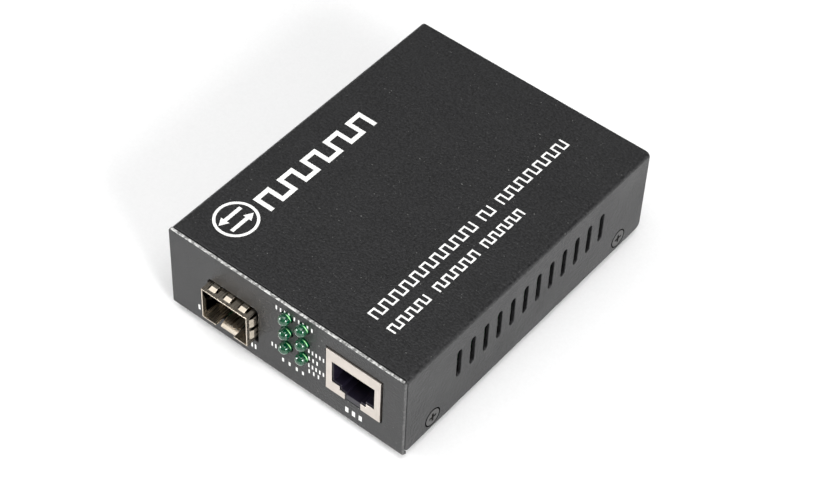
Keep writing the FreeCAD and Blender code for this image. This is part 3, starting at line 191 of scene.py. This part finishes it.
# The real pebble is finer and much shallower: it is drawn as coarse and as deep as it needs to show.
PEBBLE_SIZE = 0.55
PEBBLE_HEIGHT = 0.17
pebble = grain(paint, paint_place, PEBBLE_SIZE, detail=3.0)
cloudy = grain(paint, paint_place, 14.0)
dust = grain(paint, paint_place, 0.5, detail=0.0)
paint_tone = add_node(paint, "ShaderNodeValToRGB", links=[(0, pebble)],
                      stops=[(0.3, "#0a0a0b"), (0.7, "#282829")])
speck = add_node(paint, "ShaderNodeMapRange", links=[("Value", dust)],
                 values=[("From Min", 0.82), ("From Max", 0.88)])
speck_colour = add_node(paint, "ShaderNodeMix", data_type="RGBA", values=[(7, linear("#6c6c6a"))],
                        links=[(0, speck), (6, paint_tone)], output=2)
# A painted highlight lies along the front panel's sheared edge, in bright pale flecks where the rounded edge
# catches light.
# Each pair is where the painted highlight starts and is full, in millimetres from the panel's rim or face.
TOP_RIM = (0.14, 0.04)
SIDE_RIM = (0.3, 0.1)
PANEL_DEPTH = (0.80, 0.60)
SIDE_HIGHLIGHT_SHARE = 0.12
panel_low, panel_high = [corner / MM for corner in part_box("base_chassis")]
paint_across = add_node(paint, "ShaderNodeSeparateXYZ", links=[(0, paint_place)], output="X")
paint_along = add_node(paint, "ShaderNodeSeparateXYZ", links=[(0, paint_place)], output="Y")
paint_up = add_node(paint, "ShaderNodeSeparateXYZ", links=[(0, paint_place)], output="Z")
to_either_side = add_node(paint, "ShaderNodeMath", links=[(0, paint_across)], operation="ABSOLUTE")
top_edge = add_node(paint, "ShaderNodeMapRange", links=[("Value", paint_up)],
                    values=[("From Min", panel_high.z - TOP_RIM[0]), ("From Max", panel_high.z - TOP_RIM[1])])
side_edge = add_node(paint, "ShaderNodeMapRange", links=[("Value", to_either_side)],
                     values=[("From Min", panel_high.x - SIDE_RIM[0]),
                             ("From Max", panel_high.x - SIDE_RIM[1]), ("To Max", SIDE_HIGHLIGHT_SHARE)])
sheared = add_node(paint, "ShaderNodeMath", links=[(0, top_edge), (1, side_edge)], operation="MAXIMUM")
within_panel = add_node(paint, "ShaderNodeMapRange", links=[("Value", paint_along)],
                        values=[("From Min", panel_low.y + PANEL_DEPTH[0]),
                                ("From Max", panel_low.y + PANEL_DEPTH[1])])
edge_share = add_node(paint, "ShaderNodeMath", links=[(0, sheared), (1, within_panel)], operation="MULTIPLY")
highlight_fleck_grain = grain(paint, paint_place, 0.7, detail=3.0)
flecks = add_node(paint, "ShaderNodeMapRange", links=[("Value", highlight_fleck_grain)],
                  values=[("From Min", 0.40), ("From Max", 0.62), ("To Min", 0.22), ("To Max", 1.0)])
# The bright flecks on the panel's edge are a painted highlight mixed into the paint's colour.
painted_highlight_share = add_node(paint, "ShaderNodeMath", links=[(0, edge_share), (1, flecks)], operation="MULTIPLY")
paint_with_edge_highlight = add_node(paint, "ShaderNodeMix", data_type="RGBA", values=[(7, linear("#d2d2d0"))],
                       links=[(0, painted_highlight_share), (6, speck_colour)], output=2)
paint_sheen = add_node(paint, "ShaderNodeMapRange", links=[("Value", cloudy)],
                       values=[("From Min", 0.3), ("From Max", 0.7), ("To Min", 0.36), ("To Max", 0.46)])
paint_bumps = add_node(paint, "ShaderNodeBump", links=[("Height", pebble)],
                       values=[("Strength", 1.0), ("Distance", PEBBLE_HEIGHT * MM)])
feed(paint, paint_shader, Base_Color=paint_with_edge_highlight, Roughness=paint_sheen, Normal=paint_bumps)
set_shader(paint_shader, Specular_IOR_Level=0.47)

WELD = 1e-6
SAME_PLANE = math.radians(0.6)
CUT_CORNER = math.radians(40)
BEND_STEP = math.radians(32)
ROUNDING_STEPS = 3
TRAY_ROUNDING = 0.22
LID_ROUNDING = 0.15


def choose(piece):
    """Select only this piece, and make it the active one."""
    bpy.ops.object.select_all(action="DESELECT")
    piece.select_set(True)
    bpy.context.view_layer.objects.active = piece


def soften_edges(node_name, new_name, radius_mm, material, bend_step=BEND_STEP):
    """Copy a CAD node, join its facets, round its sharp edges and let the copy stand for it."""
    piece = bpy.data.objects.new(new_name, nodes[node_name].data.copy())
    bpy.context.scene.collection.objects.link(piece)
    piece.data.materials.clear()
    piece.data.materials.append(material)
    choose(piece)
    bpy.ops.mesh.customdata_custom_splitnormals_clear()
    bpy.ops.object.mode_set(mode="EDIT")
    bpy.ops.mesh.select_all(action="SELECT")
    bpy.ops.mesh.remove_doubles(threshold=WELD)
    bpy.ops.mesh.dissolve_limited(angle_limit=SAME_PLANE)
    bpy.ops.object.mode_set(mode="OBJECT")
    rounding = piece.modifiers.new("rounding", "BEVEL")
    rounding.width = radius_mm * MM
    rounding.segments = ROUNDING_STEPS
    rounding.limit_method = "ANGLE"
    rounding.angle_limit = CUT_CORNER
    rounding.use_clamp_overlap = False
    bpy.ops.object.modifier_apply(modifier=rounding.name)
    bpy.ops.object.shade_smooth_by_angle(angle=bend_step)
    flats = piece.modifiers.new("flats", "WEIGHTED_NORMAL")
    flats.keep_sharp = True
    bpy.ops.object.modifier_apply(modifier=flats.name)
    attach(piece, "root")
    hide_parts(node_name)


soften_edges("base_chassis", "painted_tray", TRAY_ROUNDING, paint)
soften_edges("top_cover", "painted_lid", LID_ROUNDING, paint)

# ------------------------------------------------------------------ the screen-printed marks
# White ink pulled through a screen, 0.03 mm thick, which dries matt and a little uneven. The marks are plain
# signs of the maker's own choosing: pulse trains on the lid and rows of strokes on the panel, in the places
# of the wording. The lid's ring follows.

ink, ink_shader, ink_place = new_finish("white screen ink")
ink_cover = grain(ink, ink_place, 0.35)
ink_tone = add_node(ink, "ShaderNodeValToRGB", links=[(0, ink_cover)],
                    stops=[(0.25, "#d9d9d6"), (0.6, "#f4f4f2")])
ink_sheen = add_node(ink, "ShaderNodeMapRange", links=[("Value", ink_cover)],
                     values=[("From Min", 0.3), ("From Max", 0.7), ("To Min", 0.45), ("To Max", 0.6)])
feed(ink, ink_shader, Base_Color=ink_tone, Roughness=ink_sheen)
INK_THICKNESS = 0.03
LID_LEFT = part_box("top_cover")[0][0] / MM
LID_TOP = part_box("top_cover")[1][2] / MM
PANEL_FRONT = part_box("base_chassis")[0][1] / MM


def lid_bar(across, along, width, length):
    """The middle and the size, in millimetres, of a bar on the lid, placed from its front left corner."""
    middle = (LID_LEFT + across, PANEL_FRONT + along, LID_TOP + INK_THICKNESS / 2)
    return middle, (width, length, INK_THICKNESS)


def panel_bar(across, up, width, height):
    """The same for a bar on the front panel, placed from the case's left side and underside."""
    middle = (LID_LEFT + across, PANEL_FRONT - INK_THICKNESS / 2, up)
    return middle, (width, INK_THICKNESS, height)


def pulse_train(along, end, base, height, stroke, pitch):
    """Bars that draw a square wave on the lid between two places along it, rising from its base line."""
    bars = []
    count = round((end - along) / pitch)
    step = (end - along) / count
    for pulse in range(count):
        middle = along + (pulse + 0.5) * step
        level = base - stroke / 2 if pulse % 2 else base - height + stroke / 2
        bars.append(lid_bar(level, middle, stroke, step - stroke))
    for riser in range(count + 1):
        bars.append(lid_bar(base - height / 2, along + riser * step, height, stroke))
    return bars


def print_bars(name, bars):
    """Lay bars of ink as one piece; each bar is its middle and its size in millimetres."""
    middle, size = bars[0]
    bpy.ops.object.select_all(action="DESELECT")
    bpy.ops.mesh.primitive_cube_add(size=MM, location=Vector(middle) * MM, scale=size)
    marks = bpy.context.object
    marks.name = name
    bpy.ops.object.transform_apply(location=True, rotation=True, scale=True)
    bpy.ops.object.mode_set(mode="EDIT")
    for middle, size in bars[1:]:
        bpy.ops.mesh.primitive_cube_add(size=MM, location=Vector(middle) * MM, scale=size)
    bpy.ops.object.mode_set(mode="OBJECT")
    marks.data.materials.append(ink)
    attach(marks, "root")


BOLD_STROKE = 1.25
FINE_STROKE = 0.48
bold_train = pulse_train(20.0, 57.4, base=14.7, height=5.8, stroke=BOLD_STROKE, pitch=4.15)
fine_trains = []
for train_start, train_end in ((10.4, 47.0), (50.0, 53.8), (57.0, 82.6)):
    fine_trains += pulse_train(train_start, train_end, base=54.6, height=3.0, stroke=FINE_STROKE, pitch=1.8)
for train_start, train_end in ((9.8, 22.6), (26.0, 40.6), (43.6, 57.6)):
    fine_trains += pulse_train(train_start, train_end, base=60.2, height=2.6, stroke=FINE_STROKE, pitch=1.6)
print_bars("lid_bold_pulses", bold_train)
print_bars("lid_fine_pulses", fine_trains)


def pill_row(across, up, count, width, height, pitch):
    """Upright bars side by side on the front panel, in the place of a word."""
    return [panel_bar(across + place * pitch, up, width, height) for place in range(count)]


# Each row is its place across and up, its number of bars, and their width, height and pitch.
panel_rows = ((33.4, 24.0, 4, 0.42, 1.3, 1.25), (38.8, 23.95, 5, 0.42, 1.3, 1.3),
              (31.9, 9.8, 2, 0.42, 1.4, 1.1), (25.5, 4.5, 2, 0.42, 1.6, 1.1),
              (43.1, 16.1, 5, 0.40, 1.3, 1.1), (43.2, 13.5, 3, 0.40, 1.3, 1.2),
              (43.1, 11.0, 5, 0.40, 1.3, 1.1), (43.2, 8.9, 3, 0.40, 1.3, 1.4),
              (35.2, 6.6, 2, 0.55, 1.2, 2.0), (39.4, 6.5, 2, 0.55, 1.2, 1.9),
              (54.6, 4.1, 3, 0.9, 1.7, 2.0), (8.8, 5.2, 1, 0.6, 1.7, 1.0))
panel_bars = [bar for row in panel_rows for bar in pill_row(*row)]
print_bars("panel_pulses", panel_bars)

# ------------------------------------------------------------------ the lid's ring and arrows
# The largest mark: a ring of the same white ink round two arrows that point opposite ways, for a two-way
# exchange. All of it is printed as one layer at the lid's front left corner.

RING_ACROSS = 10.2
RING_ALONG = 12.2
RING_RADIUS = 5.6
RING_STROKE = 0.75
RING_STEPS = 72
ARROW_OFFSET = 1.7
ARROW_LENGTH = 5.4
ARROW_STROKE = 1.0
ARROW_HEAD = 1.5
ring_middle = Vector(lid_bar(RING_ACROSS, RING_ALONG, 0, 0)[0]) * MM
bpy.ops.object.select_all(action="DESELECT")
bpy.ops.mesh.primitive_circle_add(vertices=RING_STEPS, radius=RING_RADIUS * MM, fill_type="NGON",
                                  location=ring_middle)
ring = bpy.context.object
ring.name = "lid_exchange_ring"
bpy.ops.object.transform_apply(location=True)
bpy.ops.object.mode_set(mode="EDIT")
bpy.ops.mesh.select_mode(type="FACE")
bpy.ops.mesh.select_all(action="SELECT")
bpy.ops.mesh.inset(thickness=RING_STROKE * MM)
bpy.ops.mesh.delete(type="FACE")
for side in (-1, 1):
    shaft_middle = ring_middle + Vector((side * ARROW_OFFSET, -side * 0.5 * ARROW_HEAD, 0)) * MM
    bpy.ops.mesh.primitive_plane_add(size=MM, location=shaft_middle)
    bpy.ops.transform.resize(value=(ARROW_STROKE, ARROW_LENGTH, 1), center_override=shaft_middle)
    head_middle = shaft_middle + Vector((0, side * (ARROW_LENGTH + ARROW_HEAD) / 2, 0)) * MM
    bpy.ops.mesh.primitive_circle_add(vertices=3, radius=ARROW_HEAD * MM, fill_type="NGON",
                                      location=head_middle, rotation=(0, 0, 0 if side > 0 else math.pi))
bpy.ops.object.mode_set(mode="OBJECT")
ring_ink = ring.modifiers.new("ink", "SOLIDIFY")
ring_ink.thickness = INK_THICKNESS * MM
ring_ink.offset = 0.0
bpy.ops.object.modifier_apply(modifier=ring_ink.name)
ring.data.materials.append(ink)
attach(ring, "root")

# ------------------------------------------------------------------ the lid screws
# Four countersunk cross-head machine screws of M3, of steel that is blackened and oiled, which leaves a dark
# grey with a soft shine. They are sunk level with the lid's side walls and hold it to the tray's flanges.


def dress(material, *names):
    """Give CAD nodes a finish."""
    for name in names:
        for slot in nodes[name].material_slots:
            slot.material = material


black_oxide, oxide_shader, oxide_place = new_finish("black oxide on steel")
oxide_grain = grain(black_oxide, oxide_place, 0.3)
# Each head's rim lies in the shade of its countersink. The place is folded onto one of the four screws, and
# its distance from that screw's axis finds the rim.
RIM_START = 0.45
RIM_FULL = 0.3
screws_low, screws_high = [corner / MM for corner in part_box("cover_screws")]
screws_middle = (screws_low + screws_high) / 2
head_radius = (screws_high.z - screws_low.z) / 2
axis_from_middle = (screws_high.y - screws_low.y) / 2 - head_radius
from_middle = add_node(black_oxide, "ShaderNodeVectorMath", values=[(1, screws_middle)],
                       links=[(0, oxide_place)], operation="SUBTRACT")
folded = add_node(black_oxide, "ShaderNodeVectorMath", links=[(0, from_middle)], operation="ABSOLUTE")
to_axis = add_node(black_oxide, "ShaderNodeVectorMath", values=[(1, (0.0, axis_from_middle, 0.0))],
                   links=[(0, folded)], operation="SUBTRACT")
across_head = add_node(black_oxide, "ShaderNodeVectorMath", values=[(1, (0.0, 1.0, 1.0))],
                       links=[(0, to_axis)], operation="MULTIPLY")
head_reach = add_node(black_oxide, "ShaderNodeVectorMath", links=[(0, across_head)], operation="LENGTH",
                      output="Value")
shaded_rim = add_node(black_oxide, "ShaderNodeMapRange", links=[("Value", head_reach)],
                      values=[("From Min", head_radius - RIM_START), ("From Max", head_radius - RIM_FULL)])
oxide_tone = add_node(black_oxide, "ShaderNodeValToRGB", links=[(0, oxide_grain)],
                      stops=[(0.3, "#222222"), (0.75, "#3c3b3a")])
head_tone = add_node(black_oxide, "ShaderNodeMix", data_type="RGBA", values=[(7, linear("#060606"))],
                     links=[(0, shaded_rim), (6, oxide_tone)], output=2)
oxide_sheen = add_node(black_oxide, "ShaderNodeMapRange", links=[("Value", oxide_grain)],
                       values=[("From Min", 0.3), ("From Max", 0.7), ("To Min", 0.26), ("To Max", 0.40)])
rim_gloss = add_node(black_oxide, "ShaderNodeMapRange", links=[("Value", shaded_rim)],
                     values=[("To Min", 0.5), ("To Max", 0.0)])
feed(black_oxide, oxide_shader, Base_Color=head_tone, Roughness=oxide_sheen, Specular_IOR_Level=rim_gloss)
dress(black_oxide, "cover_screws")

# ------------------------------------------------------------------ the circuit board and its fixings
# A 1.6 mm glass and epoxy laminate under green solder resist, on four plated hexagon pillars with pan-head
# screws. The resist shows fine copper tracks as slightly raised, lighter lines.

laminate, laminate_shader, laminate_place = new_finish("solder resist on glass epoxy")
TRACK_PITCH = 2.54
track_place = add_node(laminate, "ShaderNodeVectorMath", values=[(1, [1 / TRACK_PITCH] * 3)],
                       links=[(0, laminate_place)], operation="MULTIPLY")
tracks = add_node(laminate, "ShaderNodeTexBrick", links=[("Vector", track_place)],
                  values=[("Color1", linear("#0b4426")), ("Color2", linear("#0e4c2b")),
                          ("Mortar", linear("#1d6b3c")), ("Mortar Size", 0.06), ("Scale", 1.0),
                          ("Brick Width", 2.6), ("Row Height", 0.5)])
TRACK_HEIGHT = 0.03
track_bumps = add_node(laminate, "ShaderNodeBump", links=[("Height", tracks.node.outputs["Fac"])],
                       values=[("Strength", 1.0), ("Distance", TRACK_HEIGHT * MM)])
feed(laminate, laminate_shader, Base_Color=tracks, Normal=track_bumps)
set_shader(laminate_shader, Roughness=0.32)
dress(laminate, "circuit_board")

# Zinc leaves the pillars, the pan-head screws, the crystal's can and the leads a pale grey, dulled in spots.
plated, plated_shader, plated_place = new_finish("zinc plate on steel")
plated_grain = grain(plated, plated_place, 0.5)
plated_tone = add_node(plated, "ShaderNodeValToRGB", links=[(0, plated_grain)],
                       stops=[(0.3, "#9c9a94"), (0.7, "#b9b7b0")])
plated_sheen = add_node(plated, "ShaderNodeMapRange", links=[("Value", plated_grain)],
                        values=[("From Min", 0.3), ("From Max", 0.7), ("To Min", 0.25), ("To Max", 0.4)])
feed(plated, plated_shader, Base_Color=plated_tone, Roughness=plated_sheen)
set_shader(plated_shader, Metallic=1.0)
dress(plated, "board_standoffs", "board_screws", "crystal_can", "led_leads")

# ------------------------------------------------------------------ the fibre port's cage
# A press-folded cage of thin copper alloy with a matt nickel plate. Sprung fingers slit into its top and
# sides press on the panel's cut-out. The plate keeps the strip's rolling lines, which run along the cage.

nickel, nickel_shader, nickel_place = new_finish("matt nickel plate on rolled strip")
# The real rolling lines are finer, and are drawn as coarse as they need to show.
ROLLING_PITCH = 0.16
ROLLING_HEIGHT = 0.003
rolling_lines = grain(nickel, nickel_place, ROLLING_PITCH, detail=1.0, stretch=(1.0, 60.0, 1.0))
stain = grain(nickel, nickel_place, 5.0)
nickel_tone = add_node(nickel, "ShaderNodeValToRGB", links=[(0, stain)],
                       stops=[(0.3, "#c2b8a8"), (0.7, "#dbd1c2")])
nickel_sheen = add_node(nickel, "ShaderNodeMapRange", links=[("Value", rolling_lines)],
                        values=[("From Min", 0.3), ("From Max", 0.7), ("To Min", 0.15), ("To Max", 0.36)])
nickel_bumps = add_node(nickel, "ShaderNodeBump", links=[("Height", rolling_lines)],
                        values=[("Strength", 0.5), ("Distance", ROLLING_HEIGHT * MM)])
feed(nickel, nickel_shader, Base_Color=nickel_tone, Roughness=nickel_sheen, Normal=nickel_bumps)
set_shader(nickel_shader, Metallic=1.0)
FINGER_STEP = math.radians(20)
CAGE_ROUNDING = 0.06
soften_edges("sfp_cage", "plated_cage", CAGE_ROUNDING, nickel, bend_step=FINGER_STEP)
soften_edges("sfp_cage_floor", "plated_cage_floor", CAGE_ROUNDING, nickel)

# ------------------------------------------------------------------ black mouldings
# The fibre port's card connector, the copper port's body, the lamp holders and the power inlet are injection
# moulded in black polyamide. It leaves the mould with a fine spark-eroded texture and a low satin shine.
# Their contacts are of bronze under a flash of gold.

moulding, moulding_shader, moulding_place = new_finish("moulded black polyamide")
# The real spark texture is finer, and is drawn as coarse as it needs to show.
spark_grain = grain(moulding, moulding_place, 0.25)
SPARK_DEPTH = 0.008
moulding_tone = add_node(moulding, "ShaderNodeValToRGB", links=[(0, spark_grain)],
                         stops=[(0.3, "#100c19"), (0.7, "#191524")])
moulding_sheen = add_node(moulding, "ShaderNodeMapRange", links=[("Value", spark_grain)],
                          values=[("From Min", 0.3), ("From Max", 0.7), ("To Min", 0.32), ("To Max", 0.46)])
moulding_bumps = add_node(moulding, "ShaderNodeBump", links=[("Height", spark_grain)],
                          values=[("Strength", 1.0), ("Distance", SPARK_DEPTH * MM)])
feed(moulding, moulding_shader, Base_Color=moulding_tone, Roughness=moulding_sheen, Normal=moulding_bumps)
dress(moulding, "sfp_connector_housing", "led_holder_left", "led_holder_right", "dc_jack_housing")
SOCKET_ROUNDING = 0.12
soften_edges("rj45_housing", "moulded_socket", SOCKET_ROUNDING, moulding)

# The flash is a thin deep yellow with a smooth shine, drawn out along the wires.
gold, gold_shader, gold_place = new_finish("gold flash on phosphor bronze")
gold_grain = grain(gold, gold_place, 0.2, stretch=(1.0, 8.0, 1.0))
gold_tone = add_node(gold, "ShaderNodeValToRGB", links=[(0, gold_grain)],
                     stops=[(0.3, "#c8973a"), (0.7, "#e3b75c")])
gold_sheen = add_node(gold, "ShaderNodeMapRange", links=[("Value", gold_grain)],
                      values=[("From Min", 0.3), ("From Max", 0.7), ("To Min", 0.2), ("To Max", 0.34)])
feed(gold, gold_shader, Base_Color=gold_tone, Roughness=gold_sheen)
set_shader(gold_shader, Metallic=1.0)
dress(gold, "sfp_connector_contacts", "rj45_contacts", "dc_jack_pin", "dc_jack_spring")

# ------------------------------------------------------------------ the copper port's shield
# A folded shell of nickel-plated brass round the moulded body. Its face lies just proud of the panel, and
# faint polishing lines run across it.

shield, shield_shader, shield_place = new_finish("bright nickel plate on brass")
# The real polishing lines are finer, and are drawn as coarse as they need to show.
shield_cloud = grain(shield, shield_place, 3.0)
shield_lines = grain(shield, shield_place, 0.12, stretch=(30.0, 1.0, 1.0))
shield_tone = add_node(shield, "ShaderNodeValToRGB", links=[(0, shield_cloud)],
                       stops=[(0.3, "#c8c0b8"), (0.7, "#d2cac2")])
shield_sheen = add_node(shield, "ShaderNodeMapRange", links=[("Value", shield_lines)],
                        values=[("From Min", 0.3), ("From Max", 0.7), ("To Min", 0.30), ("To Max", 0.42)])
feed(shield, shield_shader, Base_Color=shield_tone, Roughness=shield_sheen)
set_shader(shield_shader, Metallic=1.0)
soften_edges("rj45_shield", "folded_shield", SOCKET_ROUNDING, shield)

# ------------------------------------------------------------------ the six lamps
# Round-nosed 3 mm lamps cast in tinted clear epoxy. The nose is glossy and the tint is a deep emerald. A
# paler green band along the wall on one side is a painted highlight, for the light that would gather there.

lens, lens_shader, lens_place = new_finish("cast emerald epoxy")
lens_swirl = grain(lens, lens_place, 1.2)
lens_tint = add_node(lens, "ShaderNodeValToRGB", links=[(0, lens_swirl)],
                     stops=[(0.3, "#005c3e"), (0.7, "#008a56")])
# The painted highlight is a band on the wall: it fades in and out between these distances in front of the
# panel.
GLOW_START = (0.54, 0.46)
GLOW_END = (0.32, 0.24)
far_side = add_node(lens, "ShaderNodeAttribute", attribute_name="far_side", output="Fac")
lens_along = add_node(lens, "ShaderNodeSeparateXYZ", links=[(0, lens_place)], output="Y")
behind_nose = add_node(lens, "ShaderNodeMapRange", links=[("Value", lens_along)],
                       values=[("From Min", PANEL_FRONT - GLOW_START[0]),
                               ("From Max", PANEL_FRONT - GLOW_START[1])])
before_panel = add_node(lens, "ShaderNodeMapRange", links=[("Value", lens_along)],
                        values=[("From Min", PANEL_FRONT - GLOW_END[0]),
                                ("From Max", PANEL_FRONT - GLOW_END[1]), ("To Min", 1.0), ("To Max", 0.0)])
along_wall = add_node(lens, "ShaderNodeMath", links=[(0, behind_nose), (1, before_panel)],
                      operation="MULTIPLY")
# Painted highlight: a paler green is mixed into the tint, with less clearness, along the marked side.
painted_glow = add_node(lens, "ShaderNodeMath", links=[(0, along_wall), (1, far_side)], operation="MULTIPLY")
lens_colour = add_node(lens, "ShaderNodeMix", data_type="RGBA", values=[(7, linear("#b0f8ac"))],
                       links=[(0, painted_glow), (6, lens_tint)], output=2)
clearness = add_node(lens, "ShaderNodeMapRange", links=[("Value", painted_glow)],
                     values=[("To Min", 0.72), ("To Max", 0.0)])
feed(lens, lens_shader, Base_Color=lens_colour, Transmission_Weight=clearness)
set_shader(lens_shader, Roughness=0.03, IOR=1.5, Coat_Weight=0.65, Coat_IOR=1.5, Coat_Roughness=0.03)

lamp_names = [f"led_{side}_{row}" for side in ("left", "right") for row in ("bottom", "middle", "top")]
lamp_low, lamp_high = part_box(lamp_names[0])
lamp_middle = (lamp_low + lamp_high) / 2
lamp_radius = (lamp_high.x - lamp_low.x) / 2
LENS_STEPS = 40
NOSE_STEPS = 10
NOSE_SHARE = 0.97
bpy.ops.object.select_all(action="DESELECT")
bpy.ops.mesh.primitive_cylinder_add(vertices=LENS_STEPS, radius=lamp_radius, depth=lamp_high.y - lamp_low.y,
                                    location=lamp_middle, rotation=(math.pi / 2, 0, 0))
first_lens = bpy.context.object
bpy.ops.object.transform_apply(location=True, rotation=True)
for edge in first_lens.data.edges:
    edge.select = all(first_lens.data.vertices[end].co.y < lamp_low.y + WELD for end in edge.vertices)
for face in first_lens.data.polygons:
    face.select = False
bpy.ops.object.mode_set(mode="EDIT")
bpy.ops.mesh.select_mode(type="EDGE")
bpy.ops.mesh.bevel(offset=lamp_radius * NOSE_SHARE, segments=NOSE_STEPS, profile=0.5, affect="EDGES")
bpy.ops.object.mode_set(mode="OBJECT")
bpy.ops.object.shade_smooth_by_angle(angle=BEND_STEP)
first_lens.data.materials.append(lens)
# The side that takes the painted highlight is marked on the vertices. The mark starts at GLOW_FROM of the way
# out from the lamp's axis and is full GLOW_SPREAD further on.
GLOW_TOWARDS = Vector((0.70, 0.0, 0.71))
GLOW_FROM = 0.62
GLOW_SPREAD = 0.3
far_side_share = first_lens.data.attributes.new("far_side", "FLOAT", "POINT")
for vertex, share in zip(first_lens.data.vertices, far_side_share.data):
    outward = (vertex.co - lamp_middle) * Vector((1, 0, 1))
    way_out = outward.dot(GLOW_TOWARDS) / lamp_radius
    share.value = max(0.0, min(1.0, (way_out - GLOW_FROM) / GLOW_SPREAD))
for lamp_name in lamp_names:
    lens_piece = bpy.data.objects.new(lamp_name.replace("led", "lens"), first_lens.data.copy())
    bpy.context.scene.collection.objects.link(lens_piece)
    lens_piece.location = (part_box(lamp_name)[0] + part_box(lamp_name)[1]) / 2 - lamp_middle
    choose(lens_piece)
    bpy.ops.object.transform_apply(location=True)
    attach(lens_piece, "root")
    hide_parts(lamp_name)
bpy.data.objects.remove(first_lens)

# ------------------------------------------------------------------ the parts on the board
# Resin-bodied chips, a potted line transformer, a ferrite power inductor and two capacitors in shrunk
# sleeves, all soldered to the board's top. The moulded resin is a dull charcoal with a fine matt grain.

resin, resin_shader, resin_place = new_finish("moulded chip resin")
resin_grain = grain(resin, resin_place, 0.15)
resin_tone = add_node(resin, "ShaderNodeValToRGB", links=[(0, resin_grain)],
                      stops=[(0.3, "#17181a"), (0.7, "#232427")])
resin_bumps = add_node(resin, "ShaderNodeBump", links=[("Height", resin_grain)],
                       values=[("Strength", 1.0), ("Distance", 0.01 * MM)])
feed(resin, resin_shader, Base_Color=resin_tone, Normal=resin_bumps)
set_shader(resin_shader, Roughness=0.6)
dress(resin, "converter_chip", "memory_chip", "voltage_regulator", "line_transformer")

# Sintered ferrite is a dull, faintly rough dark grey, like slate.
ferrite, ferrite_shader, ferrite_place = new_finish("sintered ferrite")
ferrite_grain = grain(ferrite, ferrite_place, 0.3)
ferrite_tone = add_node(ferrite, "ShaderNodeValToRGB", links=[(0, ferrite_grain)],
                        stops=[(0.3, "#2b2a2c"), (0.7, "#3d3b3c")])
ferrite_bumps = add_node(ferrite, "ShaderNodeBump", links=[("Height", ferrite_grain)],
                         values=[("Strength", 1.0), ("Distance", 0.02 * MM)])
feed(ferrite, ferrite_shader, Base_Color=ferrite_tone, Normal=ferrite_bumps)
set_shader(ferrite_shader, Roughness=0.75)
dress(ferrite, "power_inductor")

# The sleeve is a smooth navy film that leaves the can's bare aluminium top in sight.
sleeve, sleeve_shader, sleeve_place = new_finish("shrunk sleeve on aluminium can")
CAN_SHOWS = 0.05
can_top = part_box("input_capacitor")[1][2] / MM
sleeve_up = add_node(sleeve, "ShaderNodeSeparateXYZ", links=[(0, sleeve_place)], output="Z")
bare_can = add_node(sleeve, "ShaderNodeMapRange", links=[("Value", sleeve_up)],
                    values=[("From Min", can_top - CAN_SHOWS), ("From Max", can_top)])
sleeve_tone = add_node(sleeve, "ShaderNodeValToRGB", links=[(0, bare_can)],
                       stops=[(0.1, "#15203a"), (0.9, "#b4b6b8")])
feed(sleeve, sleeve_shader, Base_Color=sleeve_tone, Metallic=bare_can)
set_shader(sleeve_shader, Roughness=0.35)
dress(sleeve, "input_capacitor", "output_capacitor")

# ------------------------------------------------------------------ the feet
# Four round pads of soft black rubber with a self-adhesive back, stuck under the tray's corners. The moulded
# rubber is matt and faintly grained.

rubber, rubber_shader, rubber_place = new_finish("moulded black rubber")
rubber_grain = grain(rubber, rubber_place, 0.5)
rubber_tone = add_node(rubber, "ShaderNodeValToRGB", links=[(0, rubber_grain)],
                       stops=[(0.3, "#121212"), (0.7, "#1c1c1b")])
rubber_bumps = add_node(rubber, "ShaderNodeBump", links=[("Height", rubber_grain)],
                        values=[("Strength", 1.0), ("Distance", 0.02 * MM)])
feed(rubber, rubber_shader, Base_Color=rubber_tone, Normal=rubber_bumps)
set_shader(rubber_shader, Roughness=0.8)
dress(rubber, *[f"foot_{end}_{side}" for end in ("front", "rear") for side in ("left", "right")])
